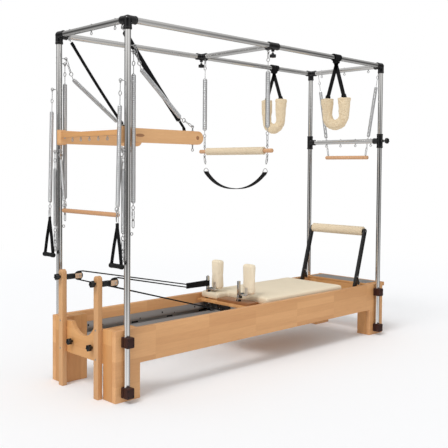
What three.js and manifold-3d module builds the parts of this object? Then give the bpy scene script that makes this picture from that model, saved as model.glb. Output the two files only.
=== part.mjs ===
// Pilates trapeze table in millimetres: +X runs to the footbar end, +Y to the far side, +Z up.
// The drawing below has its zero on the floor, midway between the four posts.

import * as THREE from 'three';
import { mergeVertices } from 'three/addons/utils/BufferGeometryUtils.js';
import Module from 'manifold-3d';

const wasm = await Module();
wasm.setup();

// Clearances and joining depths
const gap = 0.3;
const linkGap = 1.2;
const overrun = 6;
const weld = 2;
const mergeDistance = 0.001;

// Round shapes, in counts
const tubeSides = 12;
const rodSides = 8;
const ringSteps = 6;
const wireSides = 4;
const curveSteps = 6;
const linkSteps = 2;

// Tube frame
const postX = 1216;
const postY = 346;
const railHeight = 2100;
const tubeRadius = 17.5;
const tubeWall = 2;
const postFoot = 30;
const tubeStop = 20;
const socketRadius = 23.5;
const socketReach = 55;
const ventRadius = 11;
const clampHalfLength = 25;
const clampReach = 39;
const clampHeight = 59;
const lowerClampFoot = 28;
const upperClampFoot = 308;

// Eyes and the wire hooks that hang in them
const wireRadius = 2.5;
const eyeRadius = 8;
const shankLength = 8;
const archEyeY = 230;
const strapEyeY = 296;
const endBarEyeY = 300;

// Wooden bed
const bedHeadPastPost = 62;
const bedFootPastPost = 105;
const bedHalfWidth = 324;
const boardThickness = 35;
const boardTop = 399;
const boardFoot = 200;
const legLength = 172;
const blockThickness = 82;
const headBoardThickness = 30;
const headBoardTop = 390;
const archRadius = 132;
const archCentre = 455;
const platformTop = 402;
const platformThickness = 18;
const apronThickness = 20;
const lipThickness = 24;
const lipHeight = 30;

// Tracks and the bar that the carriage springs hook on
const trackWall = 4;
const trackFlangeFoot = 250;
const trackFlangeTop = 330;
const trackReach = 50;
const trackLipHeight = 25;
const springBarLength = 12;
const springBarHeight = 20;
const springBarFromLeg = 23;
const carriageSpringRadius = 9;
const carriageSpringY = 50;
const springRowsASide = 2;

// Risers with their pulleys and knobs
const riserY = 182;
const riserWidth = 42;
const riserDepth = 32;
const riserTop = 693;
const pulleyHeight = 645;
const pulleyFromRiser = 94;
const pulleyRadius = 26;
const pulleyGroove = 6;
const pulleyWidth = 18;
const pulleyRim = 3.5;
const pulleyPinRadius = 5;
const forkWall = 4;
const forkHeight = 30;
const riserKnobHeight = 651;
const boardKnobY = 103;
const boardKnobHeight = 275;

// Knobs
const knobStudRadius = 4;
const riserKnobRadius = 20;
const riserKnobLength = 22;
const tubeKnobRadius = 22.5;
const tubeKnobLength = 20;
const tubeKnobReach = 75;
const knobNeckRadius = 9;
const bossRadius = 11;
const bossReach = 36;
const knobLobes = 6;
const knobLobeSteps = 3;
const knobLobeShare = 0.09;

// Sliding crossbars
const slideGap = 0.4;
const sleeveRadius = 24;
const crossbarX = 40;
const crossbarSleeve = 95;
const endBarDrop = 580;
const endBarSleeve = 110;
const crossbarEyeY = 305;
const endCrossbarEyeGap = 146;
const endCrossbarEyeShift = 44;

// Carriage
const carriageHead = 130;
const carriageFromLeg = 279;
const carriageHalfWidth = 275;
const carriageBoardFoot = 352;
const carriageBoardTop = 370;
const wheelRadius = 30;
const wheelWidth = 20;
const wheelY = 260;
const axleRadius = 5;
const headWheelX = 20;
const footWheelFromEnd = 130;
const bracketY = 224;
const bracketThickness = 8;
const bracketLength = 50;
const bracketDrop = 84;
const hookPlateFromEnd = 80;
const hookPlateThickness = 10;
const hookPlateHalfWidth = 200;

// Carriage pad and the plate in its notch
const padHead = 105;
const padFromEnd = 5;
const padHalfWidth = 283;
const padTop = 425;
const padNotchX = 0;
const padNotchY = 100;
const padCrownShare = 0.12;
const padDrawShare = 0.012;
const padEdge = 9;
const notchPlateThickness = 19;
const notchPlateEnd = 205;

// Shoulder rests
const restX = 45;
const restY = 155;
const restLength = 60;
const restWidth = 98;
const restFoot = 440;
const restTop = 650;
const restEdge = 10;
const restCrownShare = 0.1;
const restPostX = 80;
const restPostShift = 64;
const restPostSize = 18;
const restPostTop = 528;
const restPlateThickness = 7;

// Footbar
const footbarPivotFromEnd = 296;
const footbarPivotZ = 368;
const footbarFromEnd = 166;
const footbarZ = 812;
const footbarPadRadius = 36;
const footbarPadHalfWidth = 250;
const footbarTubeRadius = 12;
const footbarArmY = 261;
const footbarArmWidth = 40;
const footbarArmThickness = 14;
const footbarPivotRadius = 12;
const braceWidth = 16;
const braceFromEnd = 236;
const braceFootZ = 404;
const braceHeadShare = 0.22;

// Push frame
const pushPivotDrop = 622;
const pushArmY = 300;
const pushArmThickness = 30;
const pushArmHalfHeight = 40;
const pushArmEnd = 623;
const pushBlockHalfLength = 29;
const pushBlockHalfHeight = 46;
const pushPinRadius = 5;
const pushCrossThickness = 30;
const pushCrossHeight = 30;
const pushCrossRise = 27;
const pushCrossEyeY = 89;
const pushDowelX = 672;
const pushDowelRadius = 14;
const eyeboltX = 700;
const eyeboltRadius = 4;
const eyeboltRise = 66;
const eyeboltDrop = 72;
const strapThickness = 4;
const strapWidth = 26;
const pushStrapFootX = 751;
const pushSpringEyeDrop = 138;
const pushEyeReach = 48;

// Spring chains on the head posts: hook height, lean along the length and outer spring radius
const armSpringEyeDrop = 340;
const armEyeReach = 48;
const armSpringLean = 24;
const armSpringLead = 125;
const armSpringFoot = 1080;
const armSpringRadius = 12;
const shortEyeReach = 30;
const shortSpringEyeDrop = 715;
const shortSpringLead = 95;
const shortSpringLength = 355;
const shortSpringTail = 155;
const shortSpringRadius = 10;
const legEyeReach = 40;
const legSpringEyeDrop = 178;
const legSpringLead = 112;
const legSpringFoot = 1100;
const legSpringEnd = 965;
const legSpringRadius = 13;
const lowEyeReach = 30;
const lowEyeZ = 925;
const linkRadius = 12;
const carabinerLength = 52;
const carabinerHalfWidth = 9;
const gripLength = 110;
const gripRadius = 14;
const gripZ = 765;
const handleHeadZ = 975;
const handleStrapThickness = 4;

// Roll-down bar
const rollEyeDrop = 705;
const rollPastPost = 12;
const rollBarShare = 0.6386;
const rollBarHalfWidth = 279;
const rollBarRadius = 13;
const rollBarEyeY = 262;
const rollSpringLead = 50;
const rollSpringTail = 55;
const rollSpringRadius = 10;

// Hanging end bar
const endBarPastPost = 44;
const hangBarDrop = 707;
const hangBarHalfWidth = 207;
const hangBarEyeY = 182;
const hangBarRadius = 13;
const hangSpringHeadDrop = 150;
const hangSpringFootDrop = 545;
const hangSpringRadius = 13;

// Trapeze
const trapezeDrop = 683;
const trapezePadRadius = 26;
const trapezePadHalfWidth = 280;
const trapezeDowelRadius = 14;
const trapezeDowelHalfWidth = 350;
const trapezeSpringRadius = 15;
const trapezeWire = 4;
const trapezeCurls = 9;
const trapezeLead = 56;
const slingHeadDrop = 147;
const slingFootDrop = 264;
const slingHalfWidth = 290;
const slingLength = 42;
const slingThickness = 8;
const slingSteps = 12;

// Push springs
const pushSpringRadius = 13;
const pushWire = 3.5;
const pushCurls = 7;
const pushLead = 20;
const pushHeadShares = { along: 0.1, fall: 0.292 };
const pushFootShares = { along: 0.77, fall: 0.885 };
const curlSteps = 8;
const curlSides = 5;

// Fleece loops
const fleeceNearX = 645;
const fleeceFarX = 750;
const fleeceBandLength = 60;
const fleeceBandThickness = 4;
const fleeceHeadDrop = 270;
const fleeceFootDrop = 483;
const fleeceHalf = 70;
const fleeceLean = 2;
const fleeceRadius = 30;
const fleeceWidthShare = 1.27;
const fleeceHeadWidthShare = 1.47;
const fleeceSides = 8;
const fleeceSteps = 12;
const fleeceStrapThickness = 4;
const fleeceStrapWidth = 32;

// Ropes
const ropeRadius = 4;
const ropeSides = 8;
const ropeEndZ = 320;
const ropeEndY = 22;
const ropeLugThickness = 20;
const ropeLugHalfWidth = 45;
const ropeLugFoot = 308;
const ropeLoopZ = 478;
const ropeLoopReach = 190;
const ropeLoopHeight = 20;

const sides = [
  { name: 'near', sign: -1 },
  { name: 'far', sign: 1 },
];
const ends = [
  { name: 'head', sign: -1 },
  { name: 'foot', sign: 1 },
];

// Lengths and places that follow from the sizes above
const postSurface = postY - tubeRadius;
const bedHead = postX + bedHeadPastPost;
const bedFoot = postX + bedFootPastPost;
const rollX = postX + rollPastPost;
const endBarX = postX + endBarPastPost;
const boardInner = bedHalfWidth - boardThickness;
const blockOuter = boardInner - gap;
const blockInner = blockOuter - blockThickness;
const headLegEnd = -bedHead + legLength;
const footLegEnd = bedFoot - legLength;
const carriageFoot = footLegEnd - carriageFromLeg;
const footWheelX = carriageFoot - footWheelFromEnd;
const hookPlateX = carriageFoot - hookPlateFromEnd;
const padFoot = carriageFoot - padFromEnd;
const footbarPivotX = bedFoot - footbarPivotFromEnd;
const footbarX = bedFoot - footbarFromEnd;
const braceFootX = bedFoot - braceFromEnd;
const wheelAxleZ = trackFlangeFoot + trackWall + gap + wheelRadius;
const trackLipY = blockOuter - trackWall - trackReach;
const springBarX = footLegEnd - springBarFromLeg;
const springBarZ = trackFlangeFoot + trackWall + gap + springBarHeight / 2;
const hookRadius = 2 * wireRadius + linkGap;
const riserFace = -bedHead - gap;

// Heights that follow from the height of the top rails
const endBarEyeZ = railHeight - tubeRadius / 2;
const endBarHeight = railHeight - endBarDrop;
const pushPivotZ = railHeight - pushPivotDrop;
const pushCrossTop = pushPivotZ + pushCrossRise;
const eyeboltHead = pushPivotZ + eyeboltRise;
const eyeboltFoot = pushPivotZ - eyeboltDrop;
const pushSpringEyeZ = railHeight - pushSpringEyeDrop;
const armSpringEyeZ = railHeight - armSpringEyeDrop;
const armSpringTop = armSpringEyeZ - armSpringLead;
const shortSpringEyeZ = railHeight - shortSpringEyeDrop;
const shortSpringTop = shortSpringEyeZ - shortSpringLead;
const shortSpringFoot = shortSpringTop - shortSpringLength;
const shortSpringEnd = shortSpringFoot - shortSpringTail;
const legSpringEyeZ = railHeight - legSpringEyeDrop;
const legSpringTop = legSpringEyeZ - legSpringLead;
const rollEyeZ = railHeight - rollEyeDrop;
const rollBarZ = boardTop + rollBarShare * (rollEyeZ - boardTop);
const rollSpringTop = rollEyeZ - rollSpringLead;
const rollSpringFoot = rollBarZ + rollSpringTail;
const hangBarZ = railHeight - hangBarDrop;
const hangSpringTop = railHeight - hangSpringHeadDrop;
const hangSpringFoot = railHeight - hangSpringFootDrop;
const trapezeZ = railHeight - trapezeDrop;
const slingHeadZ = trapezeZ - slingHeadDrop;
const slingFootZ = trapezeZ - slingFootDrop;
const fleeceHeadZ = railHeight - fleeceHeadDrop;
const fleeceFootZ = railHeight - fleeceFootDrop;
const underTubeHook = tubeRadius + shankLength + 2 * eyeRadius;
const rollEyeY = postSurface - shankLength - eyeRadius;
const trapezeHookZ = trapezeZ + trapezeDowelRadius + shankLength + 2 * eyeRadius;
const slingHookZ = trapezeZ - trapezeDowelRadius - shankLength - 2 * eyeRadius;
const pulleyX = riserFace + pulleyFromRiser;
const restPostY = sign => sign * restY + restPostShift;

// A bore whose flat sides clear a round part that turns in it
const bearing = (radius, count = rodSides) => (radius + gap) / Math.cos(Math.PI / count);

const group = new THREE.Group();
const xAxis = new THREE.Vector3(1, 0, 0);
const yAxis = new THREE.Vector3(0, 1, 0);
const zAxis = new THREE.Vector3(0, 0, 1);

const at = (x, y, z) => new THREE.Vector3(x, y, z);

// Looks, one set of values for each material
const looks = {
  wood: { color: 0xcf9a62, roughness: 0.5, metalness: 0 },
  paleWood: { color: 0xd2a674, roughness: 0.5, metalness: 0 },
  dowel: { color: 0xc8966e, roughness: 0.5, metalness: 0 },
  steel: { color: 0xb9b4ae, roughness: 0.25, metalness: 1 },
  spring: { color: 0xa9a7a6, roughness: 0.35, metalness: 1 },
  track: { color: 0xaaa7a2, roughness: 0.5, metalness: 0.8 },
  gloss: { color: 0x0b0b0c, roughness: 0.2, metalness: 0 },
  clamp: { color: 0x21130f, roughness: 0.5, metalness: 0 },
  vinyl: { color: 0xe4d6bd, roughness: 0.6, metalness: 0 },
  fleece: { color: 0xdcc096, roughness: 1, metalness: 0 },
  webbing: { color: 0x101011, roughness: 0.9, metalness: 0 },
  tan: { color: 0xc9a27c, roughness: 0.6, metalness: 0 },
};

// A closed three.js geometry as a solid, with its faces turned out
function solidOf(geometry) {
  const bare = geometry.clone();
  bare.deleteAttribute('normal');
  bare.deleteAttribute('uv');
  const merged = mergeVertices(bare, mergeDistance);
  const corner = index => at().fromBufferAttribute(merged.attributes.position, index);
  const faces = [];
  let volume = 0;
  for (let i = 0; i < merged.index.count; i += 3) {
    const [a, b, c] = [0, 1, 2].map(step => merged.index.getX(i + step));
    if (a === b || b === c || c === a) continue;
    faces.push([a, b, c]);
    volume += corner(a).dot(corner(b).cross(corner(c)));
  }
  const outward = volume > 0 ? faces : faces.map(([a, b, c]) => [a, c, b]);
  return new wasm.Manifold(new wasm.Mesh({
    numProp: 3,
    vertProperties: new Float32Array(merged.attributes.position.array),
    triVerts: new Uint32Array(outward.flat()),
  }));
}

function join(...solids) {
  return solids.flat(Infinity).reduce((whole, solid) => whole.add(solid));
}

function cut(body, ...tools) {
  return tools.flat().reduce((rest, tool) => rest.subtract(tool), body);
}

function addPart(name, solid, look) {
  const mesh = solid.getMesh();
  const geometry = new THREE.BufferGeometry();
  geometry.setAttribute('position', new THREE.BufferAttribute(mesh.vertProperties, 3));
  geometry.setIndex(new THREE.BufferAttribute(mesh.triVerts, 1));
  geometry.computeVertexNormals();
  const part = new THREE.Mesh(geometry, new THREE.MeshStandardMaterial(look));
  part.name = name;
  group.add(part);
}

function block(xs, ys, zs) {
  const [x, y, z] = [xs, ys, zs].map(([from, to]) => ({ size: Math.abs(to - from), mid: (from + to) / 2 }));
  return solidOf(new THREE.BoxGeometry(x.size, y.size, z.size).translate(x.mid, y.mid, z.mid));
}

// Turns a shape drawn along +Y so that it runs from one point towards another
function placeAlong(geometry, from, to) {
  const turn = new THREE.Quaternion().setFromUnitVectors(yAxis, to.clone().sub(from).normalize());
  return geometry.applyQuaternion(turn).translate(from.x, from.y, from.z);
}

function rod(from, to, radius, count = rodSides, endRadius = radius) {
  const length = from.distanceTo(to);
  const geometry = new THREE.CylinderGeometry(endRadius, radius, length, count);
  return solidOf(placeAlong(geometry.translate(0, length / 2, 0), from, to));
}

function wire(from, to) {
  return rod(from, to, wireRadius, wireSides);
}

// A turned piece: the profile is a list of radius and distance along the line from one point to another
function turned(profile, from, to, count = tubeSides) {
  const points = profile.map(([radius, along]) => new THREE.Vector2(radius, along));
  return solidOf(placeAlong(new THREE.LatheGeometry(points, count), from, to));
}

function ring(centre, normal, ringRadius = eyeRadius, wire = wireRadius) {
  const geometry = new THREE.TorusGeometry(ringRadius, wire, wireSides, ringSteps);
  geometry.applyQuaternion(new THREE.Quaternion().setFromUnitVectors(zAxis, normal));
  return solidOf(geometry.translate(centre.x, centre.y, centre.z));
}

// An eye with its shank, which runs from the ring into the piece that carries it
function eye(centre, normal, root) {
  const edge = root.clone().sub(centre).setLength(eyeRadius).add(centre);
  return join(ring(centre, normal), wire(edge, root));
}

// A hook's round end: it encloses the wire of the eye that it hangs in
function hook(point, normal) {
  return ring(point, normal, hookRadius);
}

function shapeOf(points) {
  return new THREE.Shape(points.map(([across, up]) => new THREE.Vector2(across, up)));
}

// Outlines drawn in the X-Z plane, the Y-Z plane and the X-Y plane, with their thickness along the third axis
function slabAlongY(shape, [from, to]) {
  const depth = Math.abs(to - from);
  const plain = { depth, bevelEnabled: false, curveSegments: curveSteps };
  const geometry = new THREE.ExtrudeGeometry(shape, plain);
  return solidOf(geometry.rotateX(Math.PI / 2).translate(0, Math.max(from, to), 0));
}

function slabAlongX(shape, [from, to]) {
  const depth = Math.abs(to - from);
  const plain = { depth, bevelEnabled: false, curveSegments: curveSteps };
  const geometry = new THREE.ExtrudeGeometry(shape, plain);
  const turn = new THREE.Matrix4().makeBasis(yAxis, zAxis, xAxis);
  return solidOf(geometry.applyMatrix4(turn).translate(Math.min(from, to), 0, 0));
}

// A flat strap between two points, with its width along a given direction
function strap(from, to, width, thickness, widthAxis) {
  const run = to.clone().sub(from);
  const length = run.length();
  const along = run.normalize();
  const flat = new THREE.Vector3().crossVectors(widthAxis, along).normalize();
  const across = new THREE.Vector3().crossVectors(along, flat);
  const geometry = new THREE.BoxGeometry(width, length, thickness).translate(0, length / 2, 0);
  geometry.applyMatrix4(new THREE.Matrix4().makeBasis(across, along, flat));
  return solidOf(geometry.translate(from.x, from.y, from.z));
}

// A stadium-shaped ring, such as a snap hook, between two points on its centre line
function longLink(from, to, halfWidth, widthAxis) {
  const run = to.clone().sub(from);
  const straight = Math.max(run.length() / 2 - halfWidth, 0);
  const along = run.normalize();
  const stadium = (shape, radius) => {
    shape.absarc(0, straight, radius, 0, Math.PI);
    shape.absarc(0, -straight, radius, Math.PI, 2 * Math.PI);
    shape.closePath();
    return shape;
  };
  const shape = stadium(new THREE.Shape(), halfWidth + wireRadius);
  shape.holes.push(stadium(new THREE.Path(), halfWidth - wireRadius));
  const depth = 2 * wireRadius;
  const plain = { depth, bevelEnabled: false, curveSegments: linkSteps };
  const geometry = new THREE.ExtrudeGeometry(shape, plain);
  geometry.translate(0, 0, -wireRadius);
  const flat = new THREE.Vector3().crossVectors(widthAxis, along).normalize();
  const across = new THREE.Vector3().crossVectors(along, flat);
  geometry.applyMatrix4(new THREE.Matrix4().makeBasis(across, along, flat));
  const centre = from.clone().lerp(to, 1 / 2);
  return solidOf(geometry.translate(centre.x, centre.y, centre.z));
}

// A close-wound spring as one turned body with drawn-in ends
function closedSpring(from, to, radius) {
  const length = from.distanceTo(to);
  const taper = radius;
  const neck = radius / 2;
  const profile = [[0, 0], [neck, 0], [radius, taper], [radius, length - taper], [neck, length], [0, length]];
  return turned(profile, from, to, rodSides);
}

// One closed tube through a list of points, square at both ends; it can be wider than deep
function tubeThrough(points, radius, count, widthShare = () => 1) {
  const positions = [];
  const faces = [];
  const tangentAt = index => {
    const before = points[Math.max(index - 1, 0)];
    const after = points[Math.min(index + 1, points.length - 1)];
    return after.clone().sub(before).normalize();
  };
  let tangent = tangentAt(0);
  const start = Math.abs(tangent.y) < Math.SQRT1_2 ? yAxis : xAxis;
  let side = start.clone().addScaledVector(tangent, -start.dot(tangent)).normalize();
  points.forEach((point, index) => {
    const next = tangentAt(index);
    side.applyQuaternion(new THREE.Quaternion().setFromUnitVectors(tangent, next));
    tangent = next;
    const other = new THREE.Vector3().crossVectors(tangent, side);
    for (let i = 0; i < count; i += 1) {
      const angle = (2 * Math.PI * i) / count;
      const corner = point.clone().addScaledVector(side, radius * widthShare(index) * Math.cos(angle));
      corner.addScaledVector(other, radius * Math.sin(angle));
      positions.push(corner.x, corner.y, corner.z);
    }
  });
  for (let ringIndex = 0; ringIndex < points.length - 1; ringIndex += 1) {
    for (let i = 0; i < count; i += 1) {
      const [a, b] = [i, (i + 1) % count].map(step => ringIndex * count + step);
      faces.push(a, b, b + count, a, b + count, a + count);
    }
  }
  const last = (points.length - 1) * count;
  for (let i = 1; i < count - 1; i += 1) {
    faces.push(0, i + 1, i, last, last + i, last + i + 1);
  }
  const geometry = new THREE.BufferGeometry();
  geometry.setAttribute('position', new THREE.Float32BufferAttribute(positions, 3));
  geometry.setIndex(faces);
  return solidOf(geometry);
}

// The centre line of an open coil: straight, then curls, then straight again
function coilPoints(from, to, radius, curls, lead) {
  const along = to.clone().sub(from).normalize();
  const side = new THREE.Vector3().crossVectors(yAxis, along);
  const spare = new THREE.Vector3().crossVectors(xAxis, along);
  const across = (side.length() > Math.SQRT1_2 ? side : spare).normalize();
  const other = new THREE.Vector3().crossVectors(along, across);
  const coiled = from.distanceTo(to) - 2 * lead;
  const steps = curls * curlSteps;
  const points = [from.clone(), from.clone().addScaledVector(along, lead / 2)];
  for (let i = 0; i <= steps; i += 1) {
    const angle = (2 * Math.PI * i) / curlSteps;
    const swell = Math.min(1, i / curlSteps, (steps - i) / curlSteps);
    const point = from.clone().addScaledVector(along, lead + (coiled * i) / steps);
    point.addScaledVector(across, swell * radius * Math.cos(angle));
    point.addScaledVector(other, swell * radius * Math.sin(angle));
    points.push(point);
  }
  points.push(to.clone().addScaledVector(along, -lead / 2), to.clone());
  return points;
}

// Least distance between the wire's surface on one curl and on any other part of the wire
function leastCoilGap(points, wire) {
  let least = Infinity;
  for (let i = 0; i < points.length; i += 1) {
    for (let j = i + curlSteps - 2; j < points.length; j += 1) {
      least = Math.min(least, points[i].distanceTo(points[j]));
    }
  }
  return least - 2 * wire;
}

// A cushion: rounded edges, a crown on its top and its long sides drawn in at the middle
function cushion(xs, ys, zs, { edge, crown, draw, steps }) {
  const [x, y, z] = [xs, ys, zs].map(([from, to]) => (
    { half: Math.abs(to - from) / 2, mid: (from + to) / 2 }
  ));
  const geometry = new THREE.BoxGeometry(2 * x.half, 2 * y.half, 2 * z.half, ...steps);
  const place = geometry.attributes.position;
  for (let i = 0; i < place.count; i += 1) {
    const [u, v, w] = [place.getX(i) / x.half, place.getY(i) / y.half, place.getZ(i) / z.half];
    const inset = Math.abs(w) > 1 - 1 / steps[2] ? edge : 0;
    const rise = w > 0 ? w * crown * (1 - u * u) * (1 - v * v) : 0;
    const narrow = draw * (1 - u * u) * (1 - w * w);
    const top = w * z.half + rise - (w > 0 ? crown * w : 0);
    place.setXYZ(i, u * (x.half - inset), v * (y.half - inset - narrow), top);
  }
  return solidOf(geometry.translate(x.mid, y.mid, z.mid));
}

// A knob on its stud: the stud's tip is at the first point and the knob's outer face at the second
function knob(tip, face, radius, length) {
  const along = face.clone().sub(tip).normalize();
  const seat = face.clone().addScaledVector(along, -length);
  const outline = [];
  const steps = knobLobeSteps * knobLobes;
  for (let i = 0; i < steps; i += 1) {
    const angle = (2 * Math.PI * i) / steps;
    const reach = radius * (1 - knobLobeShare + knobLobeShare * Math.cos(knobLobes * angle));
    outline.push([reach * Math.cos(angle), reach * Math.sin(angle)]);
  }
  const head = new THREE.ExtrudeGeometry(shapeOf(outline), { depth: length, bevelEnabled: false });
  head.rotateX(-Math.PI / 2);
  const neck = seat.clone().addScaledVector(along, -length / 2);
  return join(
    solidOf(placeAlong(head, seat, face)),
    rod(neck, seat.clone().addScaledVector(along, weld), knobNeckRadius),
    rod(tip, seat, knobStudRadius),
  );
}

// Wooden bed: side boards with their legs, leg blocks, head board and standing platform
function sideRail({ sign }) {
  const outline = shapeOf([
    [-bedHead, 0], [headLegEnd, 0], [headLegEnd, boardFoot], [footLegEnd, boardFoot],
    [footLegEnd, 0], [bedFoot, 0], [bedFoot, boardTop], [-bedHead, boardTop],
  ]);
  return slabAlongY(outline, [sign * boardInner, sign * bedHalfWidth]);
}

function legBlock(end, { sign }) {
  const top = end.sign < 0 ? boardTop : platformTop - platformThickness - gap;
  const xs = end.sign < 0 ? [-bedHead, headLegEnd] : [footLegEnd, bedFoot];
  return block(xs, [sign * blockInner, sign * blockOuter], [0, top]);
}

// The head board carries a pair of knobs, screwed in by their studs
function headBoard() {
  const halfWidth = blockInner - gap;
  const chord = Math.acos((archCentre - headBoardTop) / archRadius) - Math.PI / 2;
  const shape = new THREE.Shape();
  shape.moveTo(-halfWidth, boardFoot);
  shape.lineTo(halfWidth, boardFoot);
  shape.lineTo(halfWidth, headBoardTop);
  shape.absarc(0, archCentre, archRadius, chord, -Math.PI - chord, true);
  shape.lineTo(-halfWidth, headBoardTop);
  const knobs = sides.map(({ sign }) => knob(
    at(-bedHead + headBoardThickness / 2, sign * boardKnobY, boardKnobHeight),
    at(-bedHead - riserKnobLength - riserKnobLength / 2, sign * boardKnobY, boardKnobHeight),
    riserKnobRadius,
    riserKnobLength,
  ));
  return join(slabAlongX(shape, [-bedHead, -bedHead + headBoardThickness]), knobs);
}

function standingPlatform() {
  const lipFace = bedFoot + gap;
  return join(
    block(
      [footLegEnd, lipFace + weld],
      [-blockOuter, blockOuter],
      [platformTop - platformThickness, platformTop],
    ),
    block(
      [lipFace, lipFace + lipThickness],
      [-bedHalfWidth, bedHalfWidth],
      [platformTop - lipHeight, platformTop],
    ),
    block(
      [footLegEnd, footLegEnd + apronThickness],
      [-blockInner + gap, blockInner - gap],
      [boardFoot, platformTop - platformThickness + weld],
    ),
  );
}

function track({ sign }) {
  const outer = blockOuter;
  const inner = trackLipY;
  const shelfTop = trackFlangeFoot + trackWall;
  const outline = shapeOf([
    [inner, trackFlangeFoot], [outer, trackFlangeFoot], [outer, trackFlangeTop],
    [outer - trackWall, trackFlangeTop], [outer - trackWall, shelfTop], [inner + trackWall, shelfTop],
    [inner + trackWall, trackFlangeFoot + trackLipHeight], [inner, trackFlangeFoot + trackLipHeight],
  ].map(([across, up]) => [sign * across, up]));
  return slabAlongX(outline, [headLegEnd + gap, footLegEnd - gap]);
}

// The bar between the tracks with its row of springs, which stop short of the carriage's hook plate
function springBank() {
  const reach = trackLipY - gap;
  const start = hookPlateX + hookPlateThickness + gap;
  const rows = Array.from(
    { length: 2 * springRowsASide },
    (_, i) => (2 * (i - springRowsASide) + 1) * carriageSpringY,
  );
  return join(
    block(
      [springBarX - springBarLength / 2, springBarX + springBarLength / 2],
      [-reach, reach],
      [springBarZ - springBarHeight / 2, springBarZ + springBarHeight / 2],
    ),
    rows.map(y => (
      closedSpring(at(start, y, springBarZ), at(springBarX - weld, y, springBarZ), carriageSpringRadius)
    )),
  );
}

// Risers: a round-topped post with the pulley's fork on its inner face
function riser({ sign }) {
  const y = sign * riserY;
  const half = riserWidth / 2;
  const shape = new THREE.Shape();
  shape.moveTo(y - half, 0);
  shape.lineTo(y + half, 0);
  shape.absarc(y, riserTop - half, half, 0, Math.PI);
  const back = riserFace - riserDepth;
  const cheekInner = pulleyWidth / 2 + gap;
  const cheeks = [-1, 1].map(cheek => block(
    [riserFace - weld, pulleyX + forkHeight / 2],
    [y + cheek * cheekInner, y + cheek * (cheekInner + forkWall)],
    [pulleyHeight - forkHeight / 2, pulleyHeight + forkHeight / 2],
  ));
  const forkReach = cheekInner + forkWall;
  const stock = block(
    [riserFace - weld, pulleyX - pulleyRadius - forkWall],
    [y - forkReach, y + forkReach],
    [pulleyHeight - forkHeight / 2, pulleyHeight + forkHeight / 2],
  );
  const pin = rod(
    at(pulleyX, y - forkReach, pulleyHeight),
    at(pulleyX, y + forkReach, pulleyHeight),
    pulleyPinRadius,
  );
  const hole = rod(
    at(back - overrun, y, riserKnobHeight),
    at(back + riserDepth - weld, y, riserKnobHeight),
    knobStudRadius + gap,
  );
  return join(cut(slabAlongX(shape, [back, riserFace]), hole), cheeks, stock, pin);
}

function pulley({ sign }) {
  const y = sign * riserY;
  const half = pulleyWidth / 2;
  const bore = pulleyPinRadius + gap;
  const groove = pulleyRadius - pulleyGroove;
  const farRim = pulleyWidth - pulleyRim;
  const profile = [
    [bore, 0], [pulleyRadius, 0], [pulleyRadius, pulleyRim], [groove, pulleyRim], [groove, farRim],
    [pulleyRadius, farRim], [pulleyRadius, pulleyWidth], [bore, pulleyWidth], [bore, 0],
  ];
  return turned(profile, at(pulleyX, y - half, pulleyHeight), at(pulleyX, y + half, pulleyHeight));
}

function riserKnob({ sign }) {
  const back = riserFace - riserDepth;
  const tip = at(back + riserDepth / 2, sign * riserY, riserKnobHeight);
  const face = at(back - riserKnobLength - riserKnobLength / 2 - gap, sign * riserY, riserKnobHeight);
  return knob(tip, face, riserKnobRadius, riserKnobLength);
}

// Posts: a tube held to the bed by two clamps, with the eyes that carry the spring chains
function clamp(x, sign, foot) {
  return block(
    [x - clampHalfLength, x + clampHalfLength],
    [sign * (bedHalfWidth + gap), sign * (postY + clampReach)],
    [foot, foot + clampHeight],
  );
}

function sideEye(x, y, z, reach) {
  return eye(at(x + reach, y, z + eyeRadius), yAxis, at(x, y, z + eyeRadius));
}

function post(end, { sign }) {
  const x = end.sign * postX;
  const y = sign * postY;
  const top = railHeight - tubeStop;
  const outside = [
    rod(at(x, y, postFoot), at(x, y, top), tubeRadius, tubeSides),
    clamp(x, sign, lowerClampFoot),
    clamp(x, sign, upperClampFoot),
  ];
  const cuts = [
    rod(at(x, y, postFoot - overrun), at(x, y, top + overrun), tubeRadius - tubeWall, tubeSides),
  ];
  if (end.sign < 0) {
    outside.push(
      sideEye(x, y, armSpringEyeZ, -armEyeReach),
      sideEye(x, y, shortSpringEyeZ, -shortEyeReach),
      sideEye(x, y, legSpringEyeZ, legEyeReach),
      sideEye(x, y, pushSpringEyeZ - eyeRadius, pushEyeReach),
      sideEye(x, y, lowEyeZ, lowEyeReach),
      eye(at(-rollX, sign * rollEyeY, rollEyeZ + eyeRadius), xAxis, at(-rollX, y, rollEyeZ + eyeRadius)),
    );
    cuts.push(rod(
      at(x, sign * (postSurface - overrun), pushPivotZ),
      at(x, y, pushPivotZ),
      bearing(pushPinRadius),
    ));
  }
  return cut(join(outside), cuts);
}

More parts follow.
